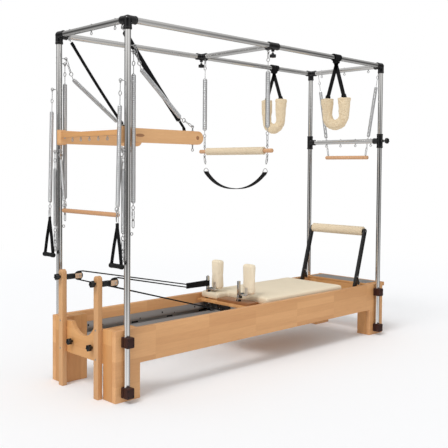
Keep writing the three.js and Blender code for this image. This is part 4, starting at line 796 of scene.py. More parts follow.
def makePost(end, endSign, side, sign):
    t, name = tube, f"post_{end}_{side}"
    x, y, radius = endSign * t["x"], sign * t["y"], t["radius"]
    pole = rod(at(x, y, t["foot"]), at(x, y, t["height"] - t["stop"]), radius, 48, 1)
    dress(joined(f"postTube.{end}.{side}", pole), polished, "frame", [name])
    shells, bolts = [], []
    xs, face = [x - t["clampHalf"], x + t["clampHalf"]], t["y"] + t["clampReach"]
    for foot in t["clampFeet"]:
        zs = [foot, foot + t["clampHeight"]]
        inside = sorted([sign * (bed["half"] + bed["gap"]), sign * (t["y"] - t["clampSplit"])])
        outside = sorted([sign * (t["y"] + t["clampSplit"]), sign * face])
        shells += [block(xs, inside, zs, 4, 3), block(xs, outside, zs, 6, 4)]
        for z in (zs[0] + t["boltEdge"], zs[1] - t["boltEdge"]):
            for way in (-1, 1):
                spot = x + way * t["boltApart"]
                bolts.append(rod(at(spot, sign * (face - 3), z), at(spot, sign * (face + 1.5), z), t["bolt"], 12, 0.8))
    dress(joined(f"postClamps.{end}.{side}", shells), clampBrown, "frame", [name])
    dress(joined(f"clampBolts.{end}.{side}", bolts), softBlack, "frame", [name])
    plug = turned([(0, -1.5), (17, -1.5), (19, 2), (19, 5), (15.6, 6), (15.6, 14), (0, 14)],
                  at(x, y, t["foot"]), at(x, y, t["foot"] + 10), 32)
    dress(joined(f"postPlug.{end}.{side}", plug), softBlack, "frame", [name])
    if end == "head":
        makePostEyes(side, sign, x, y, name)


def makePostEyes(side, sign, x, y, name):
    t, eyes, (rollX, rollY, rollZ) = tube, [], tube["rollEye"]
    for z, reach in t["eyes"]:
        way = math.copysign(1, reach)
        eyes.append(eyeBolt(at(x + reach, y, z), axes["y"], at(x + way * t["root"], y, z)))
        eyes.append(rod(at(x - way * t["root"], y, z), at(x - way * t["nutOut"], y, z), t["nut"], 6, 0.5))
    eyes.append(eyeBolt(at(rollX, sign * rollY, rollZ), axes["x"], at(rollX, sign * t["rollRoot"], rollZ)))
    dress(joined(f"postEyes.{side}", eyes), wireSteel, "frame", [name])
    low, high = t["plugOut"]
    dots = [rod(at(x, y - sign * low, z), at(x, y - sign * high, z), t["plug"], 12, 0.5) for z in t["plugHeights"]]
    dots += [rod(at(x - low, y, z), at(x - high, y, z), t["plug"], 12, 0.5) for z in t["plugHeights"]]
    dress(joined(f"postHolePlugs.{side}", dots), softBlack, "frame", [name])


def corner(x, y, inwardX, inwardY):
    z, r, reach = tube["height"], tube["socket"], tube["reach"]
    arms = [(x, y, z - reach), (x + inwardX * reach, y, z), (x, y + inwardY * reach, z)]
    parts = [ball(at(x, y, z), r + 0.3, 32)]
    for end in arms:
        tip = at(*end)
        parts.append(rod(at(x, y, z), tip, r - 0.8, 40, 1))
        back = (at(x, y, z) - tip).normalized()
        parts.append(rod(tip + back * 0.012, tip, r + 0.2, 40, 1.5))
    return spun(joined("corner", parts), 1.6, 8)


def hangingEye(x, y, z, nutTop=None):
    # an eye under a tube: its ring hangs below, its root is in the wall and its nut is on top
    eye = eyeBolt(at(x, y, z - tube["eyeDrop"]), axes["x"], at(x, y, z - tube["root"]))
    if nutTop:
        eye.append(rod(at(x, y, z + tube["root"]), at(x, y, z + nutTop), tube["nut"], 6, 0.5))
    return eye


def makeArch(end, endSign):
    x, z, node = endSign * tube["x"], tube["height"], [f"{end}_arch"]
    half = tube["y"] - tube["stop"]
    bar = rod(at(x, -half, z), at(x, half, z), tube["radius"], 48)
    dress(joined(f"archTube.{end}", bar), polished, "frame", node)
    for side, sign in sides.items():
        fitting = joined(f"corner.{end}.{side}", corner(x, sign * tube["y"], -endSign, -sign))
        dress(fitting, glossBlack, "frame", node, 60)
    eyes = [hangingEye(x, y, z, archEyes["nutTop"]) for y in archEyes[end]]
    if end == "foot":
        eyeX, eyeY, drop = archEyes["endBar"]
        for y in (-eyeY, eyeY):
            eyes.append(eyeBolt(at(eyeX, y, z - drop), axes["z"], at(eyeX - archEyes["root"], y, z - drop), False))
    dress(joined(f"archEyes.{end}", eyes), wireSteel, "frame", node)


def makeTopRail(side, sign):
    reach, y, z = tube["railHalf"], sign * tube["y"], tube["height"]
    rail = rod(at(-reach, y, z), at(reach, y, z), tube["radius"], 48)
    dress(joined(f"topRail.{side}", rail), polished, "frame", [f"top_rail_{side}"])


for end, endSign in (("head", -1), ("foot", 1)):
    for side, sign in sides.items():
        makePost(end, endSign, side, sign)
    makeArch(end, endSign)
for side, sign in sides.items():
    makeTopRail(side, sign)
print("tube frame")

# Sliding crossbars with their black tees and clamping knobs
slide = {"x": -40, "sleeve": 24, "topLength": 95, "endX": 1216, "endZ": 1520, "endLength": 110, "half": 300,
         "knob": 22.5, "knobLength": 20, "knobReach": 75, "boss": 11, "bossReach": 36, "eyeY": 305,
         "endEyes": (-263, -117, 29, 175), "nutTop": 22, "branch": 55, "cuff": 12}


def tee(centre, along, length, branch, knobWay=None):
    half, r, socket = length / 2000, slide["sleeve"], tube["socket"]
    tip, cuff = centre + branch * (slide["branch"] / 1000), slide["cuff"] / 1000
    cuffFoot = centre + branch * ((slide["branch"] - slide["cuff"]) / 1000)
    parts = [rod(centre - along * half, centre + along * half, r - 1, 40, 1),
             rod(centre, tip, socket - 0.8, 40, 1), rod(cuffFoot, tip, socket + 0.2, 40, 1)]
    for way in (-1, 1):
        parts.append(rod(centre + along * way * (half - cuff), centre + along * way * half, r, 40, 1.2))
    if knobWay is not None:
        parts.append(rod(centre, centre + knobWay * slide["bossReach"] / 1000, slide["boss"], 24, 1))
    return spun(joined("tee", parts), 1.6, 6)


def knobOn(root, out, name, body, node):
    face = root + out * slide["knobReach"] / 1000
    head, stud = starKnob(root + out * (tube["radius"] + bed["gap"]) / 1000, face, slide["knob"], slide["knobLength"])
    dress(joined(f"{name}Knob", head), glossBlack, body, [node])
    dress(joined(f"{name}Stud", stud), wireSteel, body, [node])


def makeTopCrossbar():
    x, z, body = slide["x"], tube["height"], "top_crossbar"
    bar = rod(at(x, -slide["half"], z), at(x, slide["half"], z), tube["radius"], 48)
    dress(joined("topCrossTube", bar), polished, body, [body])
    tees, eyes = [], []
    for side, sign in sides.items():
        centre = at(x, sign * tube["y"], z)
        tees.append(tee(centre, axes["x"], slide["topLength"], axes["y"] * -sign, -axes["z"]))
        eyes.append(hangingEye(x, sign * slide["eyeY"], z))
        knobOn(centre, -axes["z"], f"top.{side}.", f"top_knob_{side}", f"top_knob_{side}")
    dress(joined("topTees", tees), glossBlack, body, [body], 60)
    dress(joined("topCrossEyes", eyes), wireSteel, body, [body])


def makeEndCrossbar():
    x, z, body = slide["endX"], slide["endZ"], "end_crossbar"
    bar = rod(at(x, -slide["half"], z), at(x, slide["half"], z), tube["radius"], 48)
    dress(joined("endCrossTube", bar), polished, body, [body])
    tees = []
    for side, sign in sides.items():
        knobWay = -axes["y"] if side == "near" else None
        tees.append(tee(at(x, sign * tube["y"], z), axes["z"], slide["endLength"], axes["y"] * -sign, knobWay))
    eyes = [hangingEye(x, y, z, slide["nutTop"]) for y in slide["endEyes"]]
    dress(joined("endTees", tees), glossBlack, body, [body], 60)
    dress(joined("endCrossEyes", eyes), wireSteel, body, [body])
    knobOn(at(x, -tube["y"], z), -axes["y"], "end.", "end_knob", "end_knob")


makeTopCrossbar()
makeEndCrossbar()
print("crossbars")

# Hanging chains: a hook in its eye, rings, a close-wound spring and what hangs below
snap = {"length": 52, "half": 9, "gate": 3.4, "gateFrom": 12, "gateTo": 36, "swivel": 4, "swivelOut": 6}


def chain(top, way, springTop, springFoot, radius, normal):
    # heights are distances along the chain's line, in millimetres from the hook
    spot = lambda distance: top + way * distance / 1000
    upper, wire, thin = springTop / 2, link["wire"], link["thin"]
    steel = [ring(spot(0), normal, link["hook"], wire),
             sweep([spot(link["hook"]), spot(upper - link["ring"])], thin),
             ring(spot(upper), normal, link["ring"], wire),
             sweep([spot(upper + link["ring"]), spot(springTop + 2)], thin),
             sweep([spot(springFoot - 2), spot(springFoot + link["ring"])], thin),
             ring(spot(springFoot + 2 * link["ring"]), normal, link["ring"], wire)]
    return steel, coiled(spot(springTop), spot(springFoot), radius)


def snapHook(start, way, normal, length=snap["length"], halfWidth=snap["half"]):
    end, beside = start + way * length / 1000, normal * halfWidth / 1000
    first, last = (start + way * (snap[key] / 1000) + beside for key in ("gateFrom", "gateTo"))
    return [stadium(start, end, halfWidth, normal, link["wire"]), rod(first, last, snap["gate"], 12, 0.6),
            rod(end - way * (snap["swivel"] / 1000), end + way * (snap["swivelOut"] / 1000), snap["swivel"], 12, 0.8)]


arm = {"x": -1264, "top": 1760, "lean": -24, "springTop": 1635, "springFoot": 1080, "radius": 12, "gripZ": 765,
       "grip": 110, "strapZ": 975, "strapTop": 48, "strapWide": 18, "strapThick": 4, "tabHalf": 5, "tabSide": 11,
       "tabX": 0.85, "tabFoot": 12, "tabHead": 22, "legWide": 20, "legThick": 3.5, "legIn": 9}
shortChain = {"x": -1246, "top": 1385, "springTop": 1290, "springFoot": 935, "radius": 10, "hook": 52, "end": 780,
              "lead": 44, "linkLong": 26, "linkPitch": 21, "linkHalf": 5.5, "spare": 22}
legChain = {"x": -1176, "top": 1922, "springTop": 1810, "springFoot": 1100, "radius": 13, "hook": 58, "end": 965,
            "lead": 50, "linkHalf": 9}


def makeArmSpring(side, sign):
    a, body, y = arm, f"arm_spring_{side}", sign * tube["y"]
    fall = a["top"] - a["gripZ"]
    way = Vector((a["lean"] / fall, 0, -1)).normalized()
    spot = lambda z: at(a["x"] + a["lean"] * (a["top"] - z) / fall, y, z)
    steel, spring = chain(at(a["x"], y, a["top"]), way, a["top"] - a["springTop"], a["top"] - a["springFoot"],
                          a["radius"], axes["x"])
    ringFoot = a["springFoot"] - 3 * link["ring"]
    steel.append(snapHook(spot(ringFoot + link["wire"]), way, axes["y"]))
    dress(joined(f"armSpring.{side}", spring), springSteel, body, [body])
    dress(joined(f"armRings.{side}", steel), wireSteel, body, [body])
    grip, head, top = spot(a["gripZ"]), spot(a["strapZ"]), spot(ringFoot - a["strapTop"])
    strap = [top, (top + head) / 2, head + axes["z"] * 0.004]
    web = [ribbon(strap, axes["y"], a["strapWide"], a["strapThick"])]
    tabX = spot(a["strapZ"] + 20).x * 1000 + a["tabX"]
    web.append(block([tabX - a["tabHalf"], tabX + a["tabHalf"]], [y - a["tabSide"], y + a["tabSide"]],
                     [a["strapZ"] - a["tabFoot"], a["strapZ"] + a["tabHead"]], 3, 3))
    for turn in (-1, 1):
        foot = grip + axes["y"] * turn * (a["grip"] / 2 - a["legIn"]) / 1000
        leg = [head, head.lerp(foot, 0.5) + axes["y"] * turn * 0.003, foot]
        web.append(ribbon(leg, axes["x"], a["legWide"], a["legThick"]))
    dress(joined(f"handleStrap.{side}", web), blackWeb, body, [body])
    reach = axes["y"] * (a["grip"] / 2000)
    profile = [(0, 0), (12, 0), (14, 2), (14.4, 14), (13, 30), (12.6, 55), (13, 80), (14.4, 96), (14, 108), (12, 110),
               (0, 110)]
    dress(joined(f"handleGrip.{side}", turned(profile, grip - reach, grip + reach, 28)), softBlack, body,
          [body])


def plumbChain(c, y):
    # a chain hung straight down with its snap hook, and the height of its last ring's foot
    steel, spring = chain(at(c["x"], y, c["top"]), -axes["z"], c["top"] - c["springTop"], c["top"] - c["springFoot"],
                          c["radius"], axes["x"])
    ringFoot = c["springFoot"] - 3 * link["ring"]
    steel.append(snapHook(at(c["x"], y, ringFoot + link["wire"]), -axes["z"], axes["y"], c["hook"]))
    return steel, spring, ringFoot


def makeShortSpring(side, sign):
    c, body, y = shortChain, f"short_spring_{side}", sign * tube["y"]
    steel, spring, ringFoot = plumbChain(c, y)
    links, z = [], ringFoot - c["lead"]
    while z - c["spare"] > c["end"]:
        normal = axes["y"] if len(links) % 2 else axes["x"]
        links.append(stadium(at(c["x"], y, z), at(c["x"], y, z - c["linkLong"]), c["linkHalf"], normal, link["thin"]))
        z -= c["linkPitch"]
    links.append(stadium(at(c["x"], y, z), at(c["x"], y, c["end"]), c["linkHalf"], axes["x"], link["thin"]))
    dress(joined(f"shortSpring.{side}", spring), springSteel, body, [body])
    dress(joined(f"shortRings.{side}", steel, links), wireSteel, body, [body])


def makeLegSpring(side, sign):
    c, body, y = legChain, f"leg_spring_{side}", sign * tube["y"]
    steel, spring, ringFoot = plumbChain(c, y)
    first, last = at(c["x"], y, ringFoot - c["lead"]), at(c["x"], y, c["end"])
    steel.append(stadium(first, last, c["linkHalf"], axes["y"], link["wire"]))
    dress(joined(f"legSpring.{side}", spring), springSteel, body, [body])
    dress(joined(f"legRings.{side}", steel), wireSteel, body, [body])


for side, sign in sides.items():
    makeArmSpring(side, sign)
    makeShortSpring(side, sign)
    makeLegSpring(side, sign)
print("spring chains on the posts")

# Dowels hung by two springs: the roll-down bar and the bar at the foot end
rollBar = {"x": -1228, "eyeY": 312.5, "eyeZ": 1395, "barY": 262, "barZ": 1035, "half": 279, "radius": 13,
           "springTop": 1345, "springFoot": 1090, "springRadius": 10, "lead": 34, "eyeRoom": 12, "linkRoom": 46}
endBar = {"x": 1260, "eyeY": 300, "eyeZ": 2091.25, "barY": 182, "barZ": 1393, "half": 207, "radius": 15,
          "springTop": 1950, "springFoot": 1555, "springRadius": 13, "lead": 34, "eyeRoom": 12, "linkRoom": 46}


def dowelProfile(r, length):
    return [(0, 0), (r - 3, 0), (r - 1, 1), (r, 4), (r, length - 4), (r - 1, length - 1), (r - 3, length), (0, length)]


def makeHungBar(name, body, bar):
    x, r, thin = bar["x"], bar["radius"], link["thin"]
    ends = [at(x, way * bar["half"], bar["barZ"]) for way in (-1, 1)]
    dowel = turned(dowelProfile(r, 2 * bar["half"]), *ends)
    dress(joined(f"{name}Dowel", dowel), dowelY, body, [body])
    springs, steel = [], []
    for sign in sides.values():
        top, foot = at(x, sign * bar["eyeY"], bar["eyeZ"]), at(x, sign * bar["barY"], bar["barZ"])
        way, run = (foot - top).normalized(), (foot - top).length * 1000
        share = run / (bar["eyeZ"] - bar["barZ"])
        springTop, springFoot = ((bar["eyeZ"] - bar[key]) * share for key in ("springTop", "springFoot"))
        rings, coil = chain(top, way, springTop, springFoot, bar["springRadius"], axes["y"])
        spot = lambda distance: top + way * distance / 1000
        low = springFoot + bar["lead"]
        reach = run - low - r - bar["eyeRoom"]
        steel.append(rings)
        if reach > bar["linkRoom"]:
            steel.append(stadium(spot(low), spot(low + reach * 0.55), link["narrow"], axes["x"], thin))
            steel.append(stadium(spot(low + reach * 0.5), spot(low + reach + 6), link["narrow"], axes["y"], thin))
        else:
            steel.append(sweep([spot(low), foot], thin))
        eyeSpot = foot - way * (r + 8) / 1000
        steel.append(ring(eyeSpot, axes["y"].cross(way), link["narrow"], thin))
        steel.append(rod(eyeSpot + way * 0.006, foot, thin, 10))
        springs.append(coil)
    dress(joined(f"{name}Springs", springs), springSteel, body, [body])
    dress(joined(f"{name}Rings", steel), wireSteel, body, [body])


makeHungBar("rollDown", "roll_down_bar", rollBar)
makeHungBar("footEnd", "end_bar", endBar)
print("hung bars")

# Push frame: wooden arms on pivot blocks with a crosspiece, a dowel and eye bolts
push = {"pivotZ": 1478, "armY": 300, "thick": 30, "halfHigh": 40, "end": 623, "blockLong": 29, "blockHigh": 46,
        "blockY": 328.2, "crossTop": 1505, "crossHigh": 30, "crossBack": 28, "crossFront": 2, "eyeY": 89, "eyeX": 13,
        "eyeDrop": 16, "dowelX": 672, "dowel": 14, "plug": 12, "boltX": 700, "boltTop": 1544, "boltFoot": 1406,
        "bolt": 4, "nut": 7, "pivot": 5, "pivotEnd": 345, "pivotNut": 9, "screw": 5, "screwX": -795, "screwUp": 20,
        "insetX": -1105, "insetHalf": (30, 9)}


def makePushFrame():
    p, z, node = push, push["pivotZ"], ["push_frame"]
    armIn, armOut = p["armY"] - p["thick"] / 2, p["armY"] + p["thick"] / 2
    pivotX, headX, endX = -tube["x"], -tube["x"] - p["blockLong"], -p["end"] - p["halfHigh"]
    shape = [(headX, z - p["halfHigh"]), (endX, z - p["halfHigh"])]
    shape += arc((endX, z), p["halfHigh"], -90, 90, 20)[1:] + [(headX, z + p["halfHigh"])]
    woods, blocks, steel = [], [], []
    for sign in sides.values():
        y, boltX = sign * p["armY"], -p["boltX"]
        woods.append(slab(shape, "y", [sign * armIn, sign * armOut], 5, 4))
        blocks.append(block([headX, pivotX + p["blockLong"]], sorted([sign * (armOut - 1), sign * p["blockY"]]),
                            [z - p["blockHigh"], z + p["blockHigh"]], 5, 3))
        steel.append(rod(at(pivotX, sign * armOut, z), at(pivotX, sign * p["pivotEnd"], z), p["pivot"], 20))
        steel.append(rod(at(boltX, y, p["boltFoot"] + 8), at(boltX, y, p["boltTop"] - 8), p["bolt"], 16))
        for height in (p["boltTop"], p["boltFoot"]):
            steel.append(ring(at(boltX, y, height), axes["y"], link["eye"], link["wire"]))
        for way in (1, -1):
            edge = z + way * p["halfHigh"]
            steel.append(rod(at(boltX, y, edge - way * 0.5), at(boltX, y, edge + way * 4), p["nut"], 6, 0.6))
        steel.append(rod(at(pivotX, sign * (armIn + 1), z), at(pivotX, sign * (armIn - 4), z), p["pivotNut"], 6, 1))
        screwX, screwZ = p["screwX"], z + p["screwUp"]
        screw = [at(screwX, sign * (armIn + 0.5), screwZ), at(screwX, sign * (armIn - 3), screwZ)]
        steel.append(rod(*screw, p["screw"], 16, 1))
    dress(joined("pushArms", woods), paleX, "push_frame", node)
    dress(joined("pushBlocks", blocks), paleX, "push_frame", node)
    foot = p["crossTop"] - p["crossHigh"]
    crossX = [pivotX - p["crossBack"], pivotX + p["crossFront"]]
    cross = block(crossX, [-armIn - 1, armIn + 1], [foot, p["crossTop"]], 3, 3)
    dress(joined("pushCrosspiece", cross), beechY, "push_frame", node)
    dowel = rod(at(-p["dowelX"], -armIn - 2, z), at(-p["dowelX"], armIn + 2, z), p["dowel"], 32)
    dress(joined("pushDowel", dowel), dowelY, "push_frame", node)
    for i in range(-2, 3):
        x, y = pivotX - p["eyeX"], i * p["eyeY"]
        steel.append(eyeBolt(at(x, y, foot - p["eyeDrop"]), axes["x"], at(x, y, foot + 1), False))
        steel.append(rod(at(x, y, foot + 1), at(x, y, foot - 1.5), 5.5, 20, 0.4))
    dress(joined("pushEyes", steel), wireSteel, "push_frame", node)
    plugs = [rod(*(at(-p["dowelX"], sign * (armOut + end), z) for end in (-0.5, 0.4)), p["plug"], 28, 0.3)
             for sign in sides.values()]
    dress(joined("dowelPlugs", plugs), platePlain, "push_frame", node)
    # painted shade: a dark walnut oval laid on the near arm's outer face where an oval recess lies in shade
    wide, high = p["insetHalf"]
    recess = [(p["insetX"] + wide * math.cos(math.radians(a)), z + high * math.sin(math.radians(a)))
              for a in range(0, 360, 12)]
    recessShade = slab(recess, "y", [-armOut - 0.5, -armOut + 2], 0.4, 2)
    dress(joined("pushRecessShade", recessShade), platePlain, "push_frame", node)


pushSpring = {"postEye": (-1168, 346, 1962), "armEye": (-700, 300, 1544), "radius": 13, "head": (0.1, 0.292),
              "foot": (0.77, 0.885), "ends": 70, "lead": 12, "share": 0.55, "lastLink": 42, "lastRing": 34}


def makePushSpring(side, sign):
    # hangs slack: a steep chain, the coil, then a flat chain to the eye bolt
    p, (postX, postY, postZ), (armX, armY, armZ) = pushSpring, pushSpring["postEye"], pushSpring["armEye"]
    postEye, armEye = at(postX, sign * postY, postZ), at(armX, sign * armY, armZ)
    head, foot = (at(postX + (armX - postX) * along, sign * (postY - (postY - armY) * along),
                     postZ - (postZ - armZ) * fall) for along, fall in (p["head"], p["foot"]))
    steel = []
    for eye, end in ((postEye, head), (armEye, foot)):
        way = (end - eye).normalized()
        run = (end - eye).length * 1000
        normal = way.cross(axes["y"]).normalized()
        spot = lambda distance: eye + way * distance / 1000
        links = (run - p["ends"]) * p["share"]
        steel.append(ring(spot(7), normal, link["hook"], link["wire"]))
        steel.append(stadium(spot(p["lead"]), spot(p["lead"] + links), link["narrow"], normal, link["thin"]))
        steel.append(stadium(spot(9 + links), spot(run - p["lastLink"]), link["narrow"], axes["y"], link["thin"]))
        steel.append(ring(spot(run - p["lastRing"]), axes["y"], link["ring"], link["wire"]))
        steel.append(sweep([spot(run - p["lastRing"] + link["ring"]), spot(run + 4)], 2.2))
    spring = coiled(head, foot, p["radius"])
    dress(joined(f"pushSpring.{side}", spring), springSteel, "frame", [f"push_spring_{side}"])
    dress(joined(f"pushRings.{side}", steel), wireSteel, "frame", [f"push_spring_{side}"])


# the near strap is turned to show its face, the far one its edge
pushStrap = {"headX": -1216, "headY": {"near": -296, "far": 230}, "headZ": 2058.5, "armX": -751, "armY": 282.7,
             "footZ": (1531, 1518, 1480), "wide": {"near": 35, "far": 20}, "thick": 3, "buckle": 0.9, "ring": 13,
             "ringWire": 2.6, "sag": 0.008, "sewnHead": 20, "tongue": 17, "legWide": 24}


def makePushStrap(side, sign):
    # webbing from the arch's eye through a ring down to the inner face of the arm
    p, armX, armY, wide = pushStrap, pushStrap["armX"], sign * pushStrap["armY"], pushStrap["wide"][side]
    thick, (footZ, bendZ, endZ) = p["thick"], p["footZ"]
    top, foot = at(p["headX"], p["headY"][side], p["headZ"]), at(armX, armY, footZ)
    run = (foot - top).normalized()
    across = run.cross(axes["y"]).normalized()
    head, buckle = top + run * 0.024, top.lerp(foot, p["buckle"])
    steel = [ring(top, axes["y"], link["hook"], link["wire"]), ring(buckle, axes["y"], p["ring"], p["ringWire"], 24),
             sweep([top + run * 0.006, head + run * 0.006], 2.2)]
    sag = [head.lerp(buckle, i / 8) - axes["z"] * p["sag"] * math.sin(math.pi * i / 8) for i in range(9)]
    tail = [foot + run * -0.006, at(armX, armY, bendZ), at(armX, armY, endZ)]
    parts = [ribbon(sag, across, wide, thick),
             ribbon([head - run * 0.004, head + run * 0.03], across, p["sewnHead"], 7, edge=1.2),
             ribbon([sag[-1] - run * 0.045, sag[-1] + run * 0.002], across, wide + 1, 6, edge=1.2),
             ribbon([buckle, foot], across, p["tongue"], thick), ribbon(tail, axes["x"], p["legWide"], thick)]
    dress(joined(f"pushWeb.{side}", parts), blackWeb, "frame", [f"push_strap_{side}"])
    dress(joined(f"pushWebRings.{side}", steel), wireSteel, "frame", [f"push_strap_{side}"])


makePushFrame()
for side, sign in sides.items():
    makePushSpring(side, sign)
    makePushStrap(side, sign)
print("push frame")

# Trapeze: two springs, a padded bar and the black sling
swing = {"x": -40, "y": 305, "top": 2058.5, "barZ": 1417, "padRadius": 26, "padHalf": 280, "dowel": 14,
         "dowelHalf": 350, "springTop": 1942, "springFoot": 1568, "springRadius": 15.5, "eyeOut": 30, "eyeIn": 10}
sling = {"top": 1270, "foot": 1153, "half": 290, "width": 42, "thick": 5, "points": 40, "hookDrop": 38,
         "hookFoot": 1296, "hook": (44, 7), "tab": (40, 8), "ringY": 288, "ringZ": 1274, "ringHalf": 22, "ringHigh": 24,
         "ringWire": 2.4}


def makeTrapeze():
    x, z, thin, narrow = swing["x"], swing["barZ"], link["thin"], link["narrow"]
    top, foot = swing["top"], swing["springFoot"]
    for side, sign in sides.items():
        y, node = sign * swing["y"], f"trapeze_spring_{side}"
        spot = lambda height: at(x, y, height)
        steel = [ring(spot(top), axes["y"], link["hook"], link["wire"]),
                 stadium(spot(top - 4), spot(top - 34), narrow, axes["x"], thin),
                 ring(spot(top - 44), axes["x"], link["ring"], link["wire"]),
                 sweep([spot(top - 55), spot(swing["springTop"] - 3)], thin),
                 sweep([spot(foot + 3), spot(foot - 26)], thin),
                 ring(spot(foot - 38), axes["x"], link["ring"], link["wire"]),
                 stadium(spot(foot - 46), spot(foot - 88), narrow, axes["y"], thin),
                 stadium(spot(foot - 82), spot(z + 32), narrow, axes["x"], thin),
                 ring(spot(z + 38), axes["y"], link["hook"], link["wire"])]
        spring = coiled(spot(swing["springTop"]), spot(foot), swing["springRadius"])
        dress(joined(f"trapezeSpring.{side}", spring), springSteel, "trapeze", [node])
        dress(joined(f"trapezeRings.{side}", steel), wireSteel, "trapeze", [node])
    r, half = swing["dowel"], swing["dowelHalf"]
    dowel = turned(dowelProfile(r, 2 * half), at(x, -half, z), at(x, half, z))
    dress(joined("trapezeDowel", dowel), dowelY, "trapeze", ["trapeze_bar"])
    ends = [at(x, way * swing["padHalf"], z) for way in (-1, 1)]
    makeRoller("trapezePad", *ends, swing["padRadius"], r, "trapeze", "trapeze_bar")
    eyes = []
    for y in (-swing["y"], swing["y"]):
        for way in (1, -1):
            centre, root = at(x, y, z + way * swing["eyeOut"]), at(x, y, z + way * swing["eyeIn"])
            eyes.append(eyeBolt(centre, axes["x"], root, False))
    dress(joined("trapezeEyes", eyes), wireSteel, "trapeze", ["trapeze_bar"])


def makeRoller(name, start, end, radius, bore, body, node):
    # a foam roller in stitched vinyl: full in the middle, tucked in at both ends, with a faint seam
    length = (end - start).length * 1000
    profile = [(bore, 1.5), (radius * 0.62, 0.6), (radius * 0.86, 2.2), (radius * 0.965, 6), (radius * 0.99, 12)]
    for i in range(1, 12):
        share = i / 12
        swell = 0.992 + 0.008 * math.sin(math.pi * share) + 0.0035 * math.sin(9 * math.pi * share)
        profile.append((radius * swell, 12 + (length - 24) * share))
    profile += [(r, length - d) for r, d in reversed(profile[:5])]
    profile.append(profile[0])
    roll = turned(profile, start, end, 48)
    modify(roll, "SUBSURF", levels=1, render_levels=1)
    dress(joined(name, roll), creamRoller, body, [node], 60)
    along = (end - start).normalized()
    seams = [ring(start + along * d / 1000, along, radius * 0.985, 0.9, 48, 6) for d in (7, length - 7)]
    dress(joined(name + "Seams", seams), creamRoller, body)


def makeSling():
    x, f, count, rise = swing["x"], sling, sling["points"], sling["top"] - sling["foot"]
    points = []
    for i in range(count + 1):
        share = 2 * i / count - 1
        up = 0.8 * abs(share) ** 2.2 + 0.2 * share ** 4
        points.append(at(x, share * (f["half"] - 3), f["foot"] + 4 + (rise - 4) * up))
    band = ribbon(points, axes["x"], f["width"], f["thick"], edge=1)
    tabs, steel = [], []
    tabWide, tabThick = f["tab"]
    for sign in sides.values():
        end = at(x, sign * (f["half"] - 4), f["top"])
        tab = [end - Vector((0, sign * 0.012, 0.016)), end + axes["z"] * 0.004]
        tabs.append(ribbon(tab, axes["x"], tabWide, tabThick, edge=1.5))
        y, hookZ = sign * swing["y"], swing["barZ"] - f["hookDrop"]
        steel.append(ring(at(x, y, hookZ), axes["y"], link["hook"], link["wire"]))
        hookTop = at(x, y, hookZ - 4)
        way = (at(x, sign * f["half"], f["hookFoot"]) - hookTop).normalized()
        steel.append(snapHook(hookTop, way, axes["x"], *f["hook"]))
        ringLow = []
        for angle in range(0, 181, 15):
            turn = math.radians(angle)
            ringLow.append(at(x + f["ringHalf"] * math.cos(turn), sign * f["ringY"],
                              f["ringZ"] + f["ringHigh"] * max(0, math.sin(turn))))
        steel.append(sweep(ringLow, f["ringWire"], closed=True, resolution=1))
    cut = (f["width"] / 1000, sum((b - a).length for a, b in zip(points, points[1:])))
    strap = dress(joined("slingBand", band), blackWeb, "sling", ["trapeze_sling"])
    ends = dress(joined("slingTabs", tabs), blackWeb, "sling", ["trapeze_sling"])
    dress(joined("slingRings", steel), wireSteel, "sling", ["trapeze_sling"])


makeTrapeze()
makeSling()
print("trapeze")

# Fleece loops on the top rails
fleece = {"near": 645, "far": 750, "head": {"near": 1808, "far": 1848}, "foot": 1617, "half": 74, "lean": -2,
          "wide": 42, "deep": 0.76, "headSwell": 0.28, "steps": 48, "voxel": 4.2, "pile": (0.011, 3, 0.009, 0.5),
          "tuft": (0.04, 2, 0.012, 0.45), "band": 60, "bandReach": 20, "lapReach": 24, "strap": 32, "strapThick": 3.5,
          "strapTop": 2074, "sewn": (7, 12), "knot": (24, 17), "knotZ": (2060, 2080)}


def makeFleece(side, sign):
    x, y, body, f = fleece[side], sign * tube["y"], f"fleece_loop_{side}", fleece
    legFoot, points = f["foot"] + f["half"], []
    for i in range(f["steps"] + 1):
        share = 2 * i / f["steps"] - 1
        up = max(0, 2 * abs(share) - 1)
        across, z = f["half"] * math.sin(math.pi * share), legFoot - f["half"] * math.cos(math.pi * share)
        if up:
            across, z = math.copysign(f["half"] - f["lean"] * up, share), legFoot + (f["head"][side] - legFoot) * up
        points.append(at(x, y + across, z))
    skin = sweep(points, f["wide"] - 3, resolution=6)
    middle = at(x, y, legFoot)
    for vertex in skin.data.vertices:  # flatter than it is wide, and fuller where the straps hold it
        up = max(0, (vertex.co.z - middle.z) * 1000 / (f["head"][side] - legFoot))
        leg = math.copysign(f["half"] / 1000, vertex.co.y - middle.y)
        swell = 1 + f["headSwell"] * up
        vertex.co.x = middle.x + (vertex.co.x - middle.x) * f["deep"] * swell
        if up:
            vertex.co.y = middle.y + leg + (vertex.co.y - middle.y - leg) * swell
    modify(skin, "REMESH", mode="VOXEL", voxel_size=f["voxel"] / 1000)
    for kind in ("pile", "tuft"):
        scale, depth, strength, middleLevel = f[kind]
        lumps = bpy.data.textures.new(kind, "CLOUDS")
        lumps.noise_scale, lumps.noise_depth = scale, depth
        modify(skin, "DISPLACE", texture=lumps, texture_coords="LOCAL", strength=strength, mid_level=middleLevel)
    modify(skin, "SUBSURF", levels=1, render_levels=1)
    dress(joined(f"fleeceLoop.{side}", skin), fleeceSkin, body, [body], 80)
    makeFleeceStraps(side, x, y, body)


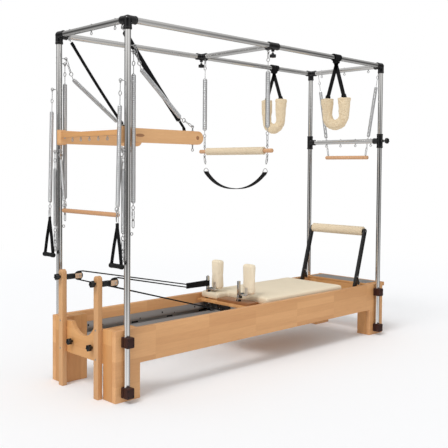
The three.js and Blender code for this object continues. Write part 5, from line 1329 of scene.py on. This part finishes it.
def makeFleeceStraps(side, x, y, body):
    f, railZ, around = fleece, tube["height"], [math.radians(angle) for angle in range(0, 360, 15)]
    turn = lambda radius, angle: at(x, y + radius * math.cos(angle), railZ + radius * math.sin(angle))
    web = [ribbon([turn(f["bandReach"], angle) for angle in around], axes["x"], f["band"], 4, closed=True)]
    sewnMore, sewnThick = f["sewn"]
    for way in (-1, 1):
        lap = [turn(f["lapReach"], angle) + axes["x"] * way * (0.019 + 0.004 * math.sin(angle)) for angle in around]
        web.append(ribbon(lap, axes["x"], f["strap"], 4.5, closed=True))
        top, foot = at(x, y - way * 8.5, f["strapTop"]), at(x, y + way * (f["half"] - f["lean"]), f["head"][side] - 4)
        across = (foot - top).cross(axes["x"])
        web.append(ribbon([top, top.lerp(foot, 0.5), foot], across, f["strap"], f["strapThick"]))
        web.append(ribbon([top.lerp(foot, 0.9), foot], across, f["strap"] + sewnMore, sewnThick, edge=2.5))
    knotX, knotY = f["knot"]
    knot = block([x - knotX, x + knotX], [y - knotY, y + knotY], f["knotZ"], 6, 3)
    dress(joined(f"fleeceStraps.{side}", web, knot), blackWeb, body, [body])


for side, sign in sides.items():
    makeFleece(side, sign)
print("fleece loops")

# Carriage: board, brackets, wheels, pad and shoulder rests
carriage = {"head": 130, "foot": 870, "half": 275, "under": 352, "top": 370, "axles": (-20, 740), "wheelY": 260,
            "wheelZ": 284.3, "wheelWide": 20, "axle": 5, "axleHalf": 269.5, "bracketY": 224, "bracketFoot": 268,
            "bracketHalf": 25, "bracketThick": 8, "flange": 30, "boltApart": 14, "boltIn": 16, "boltZ": (346, 341),
            "hookPlate": (790, 800, 200, 254.3), "bumper": (-130, -110, 45, 308), "cleats": (-190, -120, 95, 150, 205),
            "padHead": 105, "padFoot": 865, "padHalf": 283, "padTop": 425, "padInset": 5, "notchY": 100,
            "plateTop": 389, "plateY": (-205, 98), "holeX": (-90, -70), "holeY": (209, 229)}
cleat = {"x": (-122, -96), "half": 11, "under": 322, "rollerX": -109, "rollerHalf": 14, "rollerZ": 318, "roller": 12}
rest = {"y": 155, "x": (-71, -19), "half": 45, "z": (442, 647), "round": 17, "postOut": 64, "postX": (-89, -71),
        "postHalf": 9, "postTop": 528, "armX": -30, "armZ": (433, 443), "plateX": (-74, -71), "plateHalf": 14,
        "plateZ": (440, 600), "pinX": -92, "pinZ": (360, 432), "pin": 3.5, "capX": -80, "capZ": (520, 532), "cap": 5,
        "lockZ": 421, "lock": 9, "lockY": (10, 26), "collarX": (-92, -68), "collar": 13, "collarHigh": 12}
cover = {"padVoxel": 8, "restVoxel": 5, "pressure": 4, "cap": 0.005, "frames": 20, "quality": 4, "stiffness": 20}


def makeCarriageBoard():
    c, under, inZ = carriage, carriage["under"], carriage["under"] + 1
    board = block([-c["head"], c["foot"]], [-c["half"], c["half"]], [under, c["top"]], 3, 3)
    dress(joined("carriageBoard", board), beechTop, "carriage", ["carriage_board"])
    plate = block([-c["padHead"] + 2, -2], c["plateY"], [c["top"] - 0.5, c["plateTop"]], 2, 2)
    dress(joined("notchPlate", plate), platePlain, "carriage", ["carriage_board"])
    irons, bolts, boltTop, boltFoot = [], [], *c["boltZ"]
    for x in c["axles"]:
        xs = [x - c["bracketHalf"], x + c["bracketHalf"]]
        for sign in sides.values():
            ys = sorted([sign * c["bracketY"], sign * (c["bracketY"] + c["bracketThick"])])
            flangeY = sorted([sign * (c["bracketY"] - c["flange"]), sign * c["bracketY"]])
            irons.append(block(xs, ys, [c["bracketFoot"], inZ], 3, 3))
            irons.append(block(xs, flangeY, [under - 6, under + 0.5], 1, 2))
            for way in (-1, 1):
                boltX, boltY = x + way * c["boltApart"], sign * (c["bracketY"] - c["boltIn"])
                bolts.append(rod(at(boltX, boltY, boltTop), at(boltX, boltY, boltFoot), 5, 6, 0.6))
    for key, edge, steps in (("hookPlate", 1.5, 2), ("bumper", 3, 3)):
        start, end, reach, low = c[key]
        irons.append(block([start, end], [-reach, reach], [low, inZ], edge, steps))
    for y in c["cleats"]:  # rope cleats and stops under the front edge
        irons.append(block(cleat["x"], [y - cleat["half"], y + cleat["half"]], [cleat["under"], inZ], 4, 3))
        ends = [at(cleat["rollerX"], y + way * cleat["rollerHalf"], cleat["rollerZ"]) for way in (-1, 1)]
        irons.append(rod(*ends, cleat["roller"], 20, 1.5))
    dress(joined("carriageIrons", irons), armBlack, "carriage", ["carriage_board"])
    dress(joined("carriageBolts", bolts), wireSteel, "carriage", ["carriage_board"])


def makeWheels(name, x):
    c, node, body = carriage, f"wheelset_{name}", f"wheels_{name}"
    z, half = c["wheelZ"], c["wheelWide"] / 2
    profile = [(5, 0), (12, 0), (14, 3), (24, 3), (26, 0), (29, 0), (30, 2), (30, 18), (29, 20), (26, 20), (24, 17),
               (14, 17), (12, 20), (5, 20), (5, 0)]
    centres = [sign * c["wheelY"] for sign in sides.values()]
    wheels = [turned(profile, at(x, y - half, z), at(x, y + half, z), 40) for y in centres]
    dress(joined(f"{body}Tyres", wheels), softBlack, body, [node])
    axle = rod(at(x, -c["axleHalf"], z), at(x, c["axleHalf"], z), c["axle"], 24, 0.8)
    dress(joined(f"{body}Axle", axle), wireSteel, body, [node])


def puffed(piece, voxel, floor=None):
    # swells the cover from inside for a few frames, with a limit on how far any point may go
    modify(piece, "REMESH", mode="VOXEL", voxel_size=voxel / 1000)
    modify(piece, "SMOOTH", factor=0.5, iterations=4)
    start = [vertex.co.copy() for vertex in piece.data.vertices]
    cloth = piece.modifiers.new("Cloth", "CLOTH")
    cloth.settings.use_pressure = True
    cloth.settings.uniform_pressure_force = cover["pressure"]
    cloth.settings.effector_weights.gravity = 0
    cloth.settings.quality = cover["quality"]
    cloth.settings.tension_stiffness = cloth.settings.compression_stiffness = cover["stiffness"]
    cloth.point_cache.frame_start, cloth.point_cache.frame_end = 1, cover["frames"]
    scene = bpy.context.scene
    for number in range(1, cover["frames"] + 1):
        scene.frame_set(number)
        bpy.context.view_layer.update()
    shaped = piece.evaluated_get(bpy.context.evaluated_depsgraph_get())
    moved = [vertex.co.copy() for vertex in shaped.data.vertices]
    piece.modifiers.remove(cloth)
    scene.frame_set(1)
    for vertex, old, new in zip(piece.data.vertices, start, moved):
        away = new - old
        if away.length > cover["cap"]:
            away *= cover["cap"] / away.length
        vertex.co = old + away
        if floor is not None:
            vertex.co.z = max(vertex.co.z, floor)
    return modify(piece, "SUBSURF", levels=1, render_levels=1)


def makePad():
    c, foot = carriage, carriage["top"] + bed["gap"]
    headX, notchX, footX = -c["padHead"] + c["padInset"], 0.5 + c["padInset"], c["padFoot"] - c["padInset"]
    notchY, side = c["notchY"] + 1, c["padHalf"] - c["padInset"]
    outline = [(headX, notchY), (notchX, notchY), (notchX, -side), (footX, -side), (footX, side), (headX, side)]
    pad = slab(outline, "z", [foot, c["padTop"] - 4], 16, 4)
    hole = block(c["holeX"], c["holeY"], [c["top"] - 30, c["padTop"] + 35], 0)
    modify(pad, "BOOLEAN", object=hole, operation="DIFFERENCE", solver="EXACT")
    bpy.data.objects.remove(hole)
    puffed(pad, cover["padVoxel"], foot / 1000)
    dress(joined("carriagePad", pad), cream, "carriage", ["carriage_pad"], 80)


def makeRest(side, sign):
    r, node, y = rest, [f"shoulder_rest_{side}"], sign * rest["y"]
    cushion = block(r["x"], [y - r["half"], y + r["half"]], r["z"], r["round"], 4)
    puffed(cushion, cover["restVoxel"])
    dress(joined(f"restCushion.{side}", cushion), creamPale, "carriage", node, 80)
    postY, foot = y + r["postOut"], (carriage["top"] if sign > 0 else carriage["plateTop"]) + bed["gap"]
    steel = [block(r["postX"], [postY - r["postHalf"], postY + r["postHalf"]], [foot, r["postTop"]], 2, 3),
             block([r["postX"][0], r["armX"]], [y - 9, postY + 9], r["armZ"], 1.5, 2)]
    plate = block(r["plateX"], [y - r["plateHalf"], y + r["plateHalf"]], r["plateZ"], 1, 2)
    dress(joined(f"restPlate.{side}", plate), satinPlate, "carriage", node)
    if side == "near":
        steel.append(rod(*(at(r["pinX"], postY - 3, z) for z in r["pinZ"]), r["pin"], 16, 0.8))
    else:
        steel.append(rod(*(at(r["capX"], postY, z) for z in r["capZ"]), r["cap"], 16, 1))
    dress(joined(f"restPost.{side}", steel), polished, "carriage", node)
    lock = [rod(*(at(r["capX"], postY - out, r["lockZ"]) for out in r["lockY"]), r["lock"], 20, 2),
            block(r["collarX"], [postY - r["collar"], postY + r["collar"]], [foot, foot + r["collarHigh"]], 2, 2)]
    dress(joined(f"restLock.{side}", lock), glossBlack, "carriage", node)


makeCarriageBoard()
for name, x in zip(("head", "foot"), carriage["axles"]):
    makeWheels(name, x)
makePad()
for side, sign in sides.items():
    makeRest(side, sign)
print("carriage")

# Footbar: black arms with braces and a padded bar
footbar = {"pivot": (1025, 368), "head": (1155, 812), "armY": 261, "armWide": 40, "thick": 14, "padHalf": 250,
           "pad": 36, "tube": 12, "boss": 12, "brace": (1085, 404), "braceShare": 0.22, "braceWide": 16, "bolt": 6.5,
           "headReach": 10.5, "nutReach": 10}


def strip(start, end, y, wide, thick, edge=1.5):
    # a flat bar with round ends in the X-Z plane
    run = Vector((end[0] - start[0], end[1] - start[1]))
    lean = math.degrees(math.atan2(run.y, run.x))
    outline = arc(end, wide / 2, lean - 90, lean + 90, 12) + arc(start, wide / 2, lean + 90, lean + 270, 12)
    return slab(outline, "y", [y - thick / 2, y + thick / 2], edge, 2)


def makeFootbar():
    f = footbar
    (px, pz), (hx, hz) = f["pivot"], f["head"]
    joint = (px + (hx - px) * f["braceShare"], pz + (hz - pz) * f["braceShare"])
    black, bolts = [], []
    for sign in sides.values():
        y, face = sign * f["armY"], f["thick"] / 2
        black.append(strip(f["pivot"], f["head"], y, f["armWide"], f["thick"]))
        black.append(strip(joint, f["brace"], y, f["braceWide"], f["thick"]))
        black.append(rod(at(px, y, pz), at(px, sign * (inner - 0.4), pz), f["boss"], 28, 1))
        for x, z in (f["head"], joint, f["brace"]):
            for way, reach, count in ((-1, f["headReach"], 6), (1, f["nutReach"], 20)):
                ends = [at(x, y + way * sign * out, z) for out in (face, reach)]
                bolts.append(rod(*ends, f["bolt"], count, 0.8))
    bar = rod(at(hx, -f["armY"], hz), at(hx, f["armY"], hz), f["tube"], 32)
    dress(joined("footbarArms", black), armBlack, "footbar", ["footbar_frame"])
    dress(joined("footbarTube", bar), polished, "footbar", ["footbar_frame"])
    dress(joined("footbarBolts", bolts), wireSteel, "footbar", ["footbar_frame"])
    ends = [at(hx, way * f["padHalf"], hz) for way in (-1, 1)]
    makeRoller("footbarPad", *ends, f["pad"], f["tube"] + bed["gap"], "footbar", "footbar_pad")


makeFootbar()
print("footbar")

# Floor, world and lamps
studio = {"floor": (0.945, 0.952, 0.965), "floorSize": 80, "fade": (3.2, 7.5), "world": 0.68,
          "facing": (-0.3568, -0.3503, 0), "rise": (0.15, 0.75, 0.62), "key": 1.4, "keyTurn": (38, 0, -78),
          "keyAngle": 22, "keyPlace": (-2, -3, 4),
          "panels": ((0, 0.05), (0.45, 0.09), (0.6, 0.55), (0.78, 0.75), (0.9, 0.45), (0.96, 0.08), (1, 0.05))}


def connect(tree, pairs):
    for source, target in pairs:
        tree.links.new(source, target)


def makeFloor():
    bpy.ops.mesh.primitive_plane_add(size=studio["floorSize"], location=(0, 0, solidBox[0][2]))
    ground = bpy.context.object
    ground.name = "studioFloor"
    ground.visible_glossy = False
    material = bpy.data.materials.new("studio floor")
    material.use_nodes = True
    tree = material.node_tree
    tree.nodes.clear()
    new = tree.nodes.new
    end, blend, paper, glow, spot, size, fade = (new("ShaderNode" + kind) for kind in (
        "OutputMaterial", "MixShader", "BsdfDiffuse", "Emission", "TexCoord", "VectorMath", "MapRange"))
    paper.inputs[0].default_value = (*studio["floor"], 1)
    size.operation = "LENGTH"
    fade.inputs["From Min"].default_value, fade.inputs["From Max"].default_value = studio["fade"]
    fade.interpolation_type = "SMOOTHSTEP"
    connect(tree, ((spot.outputs[3], size.inputs[0]), (size.outputs["Value"], fade.inputs["Value"]),
                   (fade.outputs[0], blend.inputs[0]), (paper.outputs[0], blend.inputs[1]),
                   (glow.outputs[0], blend.inputs[2]), (blend.outputs[0], end.inputs[0])))
    ground.data.materials.append(material)


def makeWorld():
    world = bpy.data.worlds.new("studio")
    bpy.context.scene.world = world
    world.use_nodes = True
    tree = world.node_tree
    tree.nodes.clear()
    new = tree.nodes.new
    end, blend, mirrored = new("ShaderNodeOutputWorld"), new("ShaderNodeMixShader"), new("ShaderNodeMixShader")
    soft, white, walls = (new("ShaderNodeBackground") for _ in range(3))
    for light, strength in ((soft, studio["world"]), (white, 1), (walls, 1)):
        light.inputs["Color"].default_value = (1, 1, 1, 1)
        light.inputs["Strength"].default_value = strength
    # what the polished tubes mirror: dark behind and in front, bright panels to the sides, above and below
    spot, parts, away, panels, rise, path = (new("ShaderNode" + kind) for kind in (
        "TexCoord", "SeparateXYZ", "VectorMath", "ValToRGB", "MapRange", "LightPath"))
    half, height, total, seen = (new("ShaderNodeMath") for _ in range(4))
    away.operation, height.operation, total.operation, seen.operation = "DOT_PRODUCT", "ABSOLUTE", "ADD", "MAXIMUM"
    away.inputs[1].default_value = studio["facing"]
    half.inputs[1].default_value = 0.5
    while len(panels.color_ramp.elements) < len(studio["panels"]):
        panels.color_ramp.elements.new(0.5)
    for stop, (place, level) in zip(panels.color_ramp.elements, studio["panels"]):
        stop.position, stop.color = place, (level, level, level, 1)
    for key, value in zip(("From Min", "From Max", "To Max"), studio["rise"]):
        rise.inputs[key].default_value = value
    connect(tree, ((spot.outputs[0], away.inputs[0]), (away.outputs["Value"], half.inputs[0]),
                   (half.outputs[0], panels.inputs[0]), (spot.outputs[0], parts.inputs[0]),
                   (parts.outputs[2], height.inputs[0]), (height.outputs[0], rise.inputs["Value"]),
                   (panels.outputs[0], total.inputs[0]), (rise.outputs[0], total.inputs[1]),
                   (total.outputs[0], walls.inputs["Strength"]), (path.outputs["Is Glossy Ray"], mirrored.inputs[0]),
                   (soft.outputs[0], mirrored.inputs[1]), (walls.outputs[0], mirrored.inputs[2]),
                   (path.outputs["Is Camera Ray"], seen.inputs[0]),
                   (path.outputs["Is Transmission Ray"], seen.inputs[1]),
                   (seen.outputs[0], blend.inputs[0]), (mirrored.outputs[0], blend.inputs[1]),
                   (white.outputs[0], blend.inputs[2]), (blend.outputs[0], end.inputs[0])))


def makeSun():
    bpy.ops.object.light_add(type="SUN", location=studio["keyPlace"])
    key = bpy.context.object
    key.data.energy = studio["key"]
    key.data.angle = math.radians(studio["keyAngle"])
    key.rotation_euler = [math.radians(angle) for angle in studio["keyTurn"]]


clear()
makeFloor()
makeWorld()
makeSun()
bpy.context.scene.view_settings.view_transform = "Standard"
print("studio")
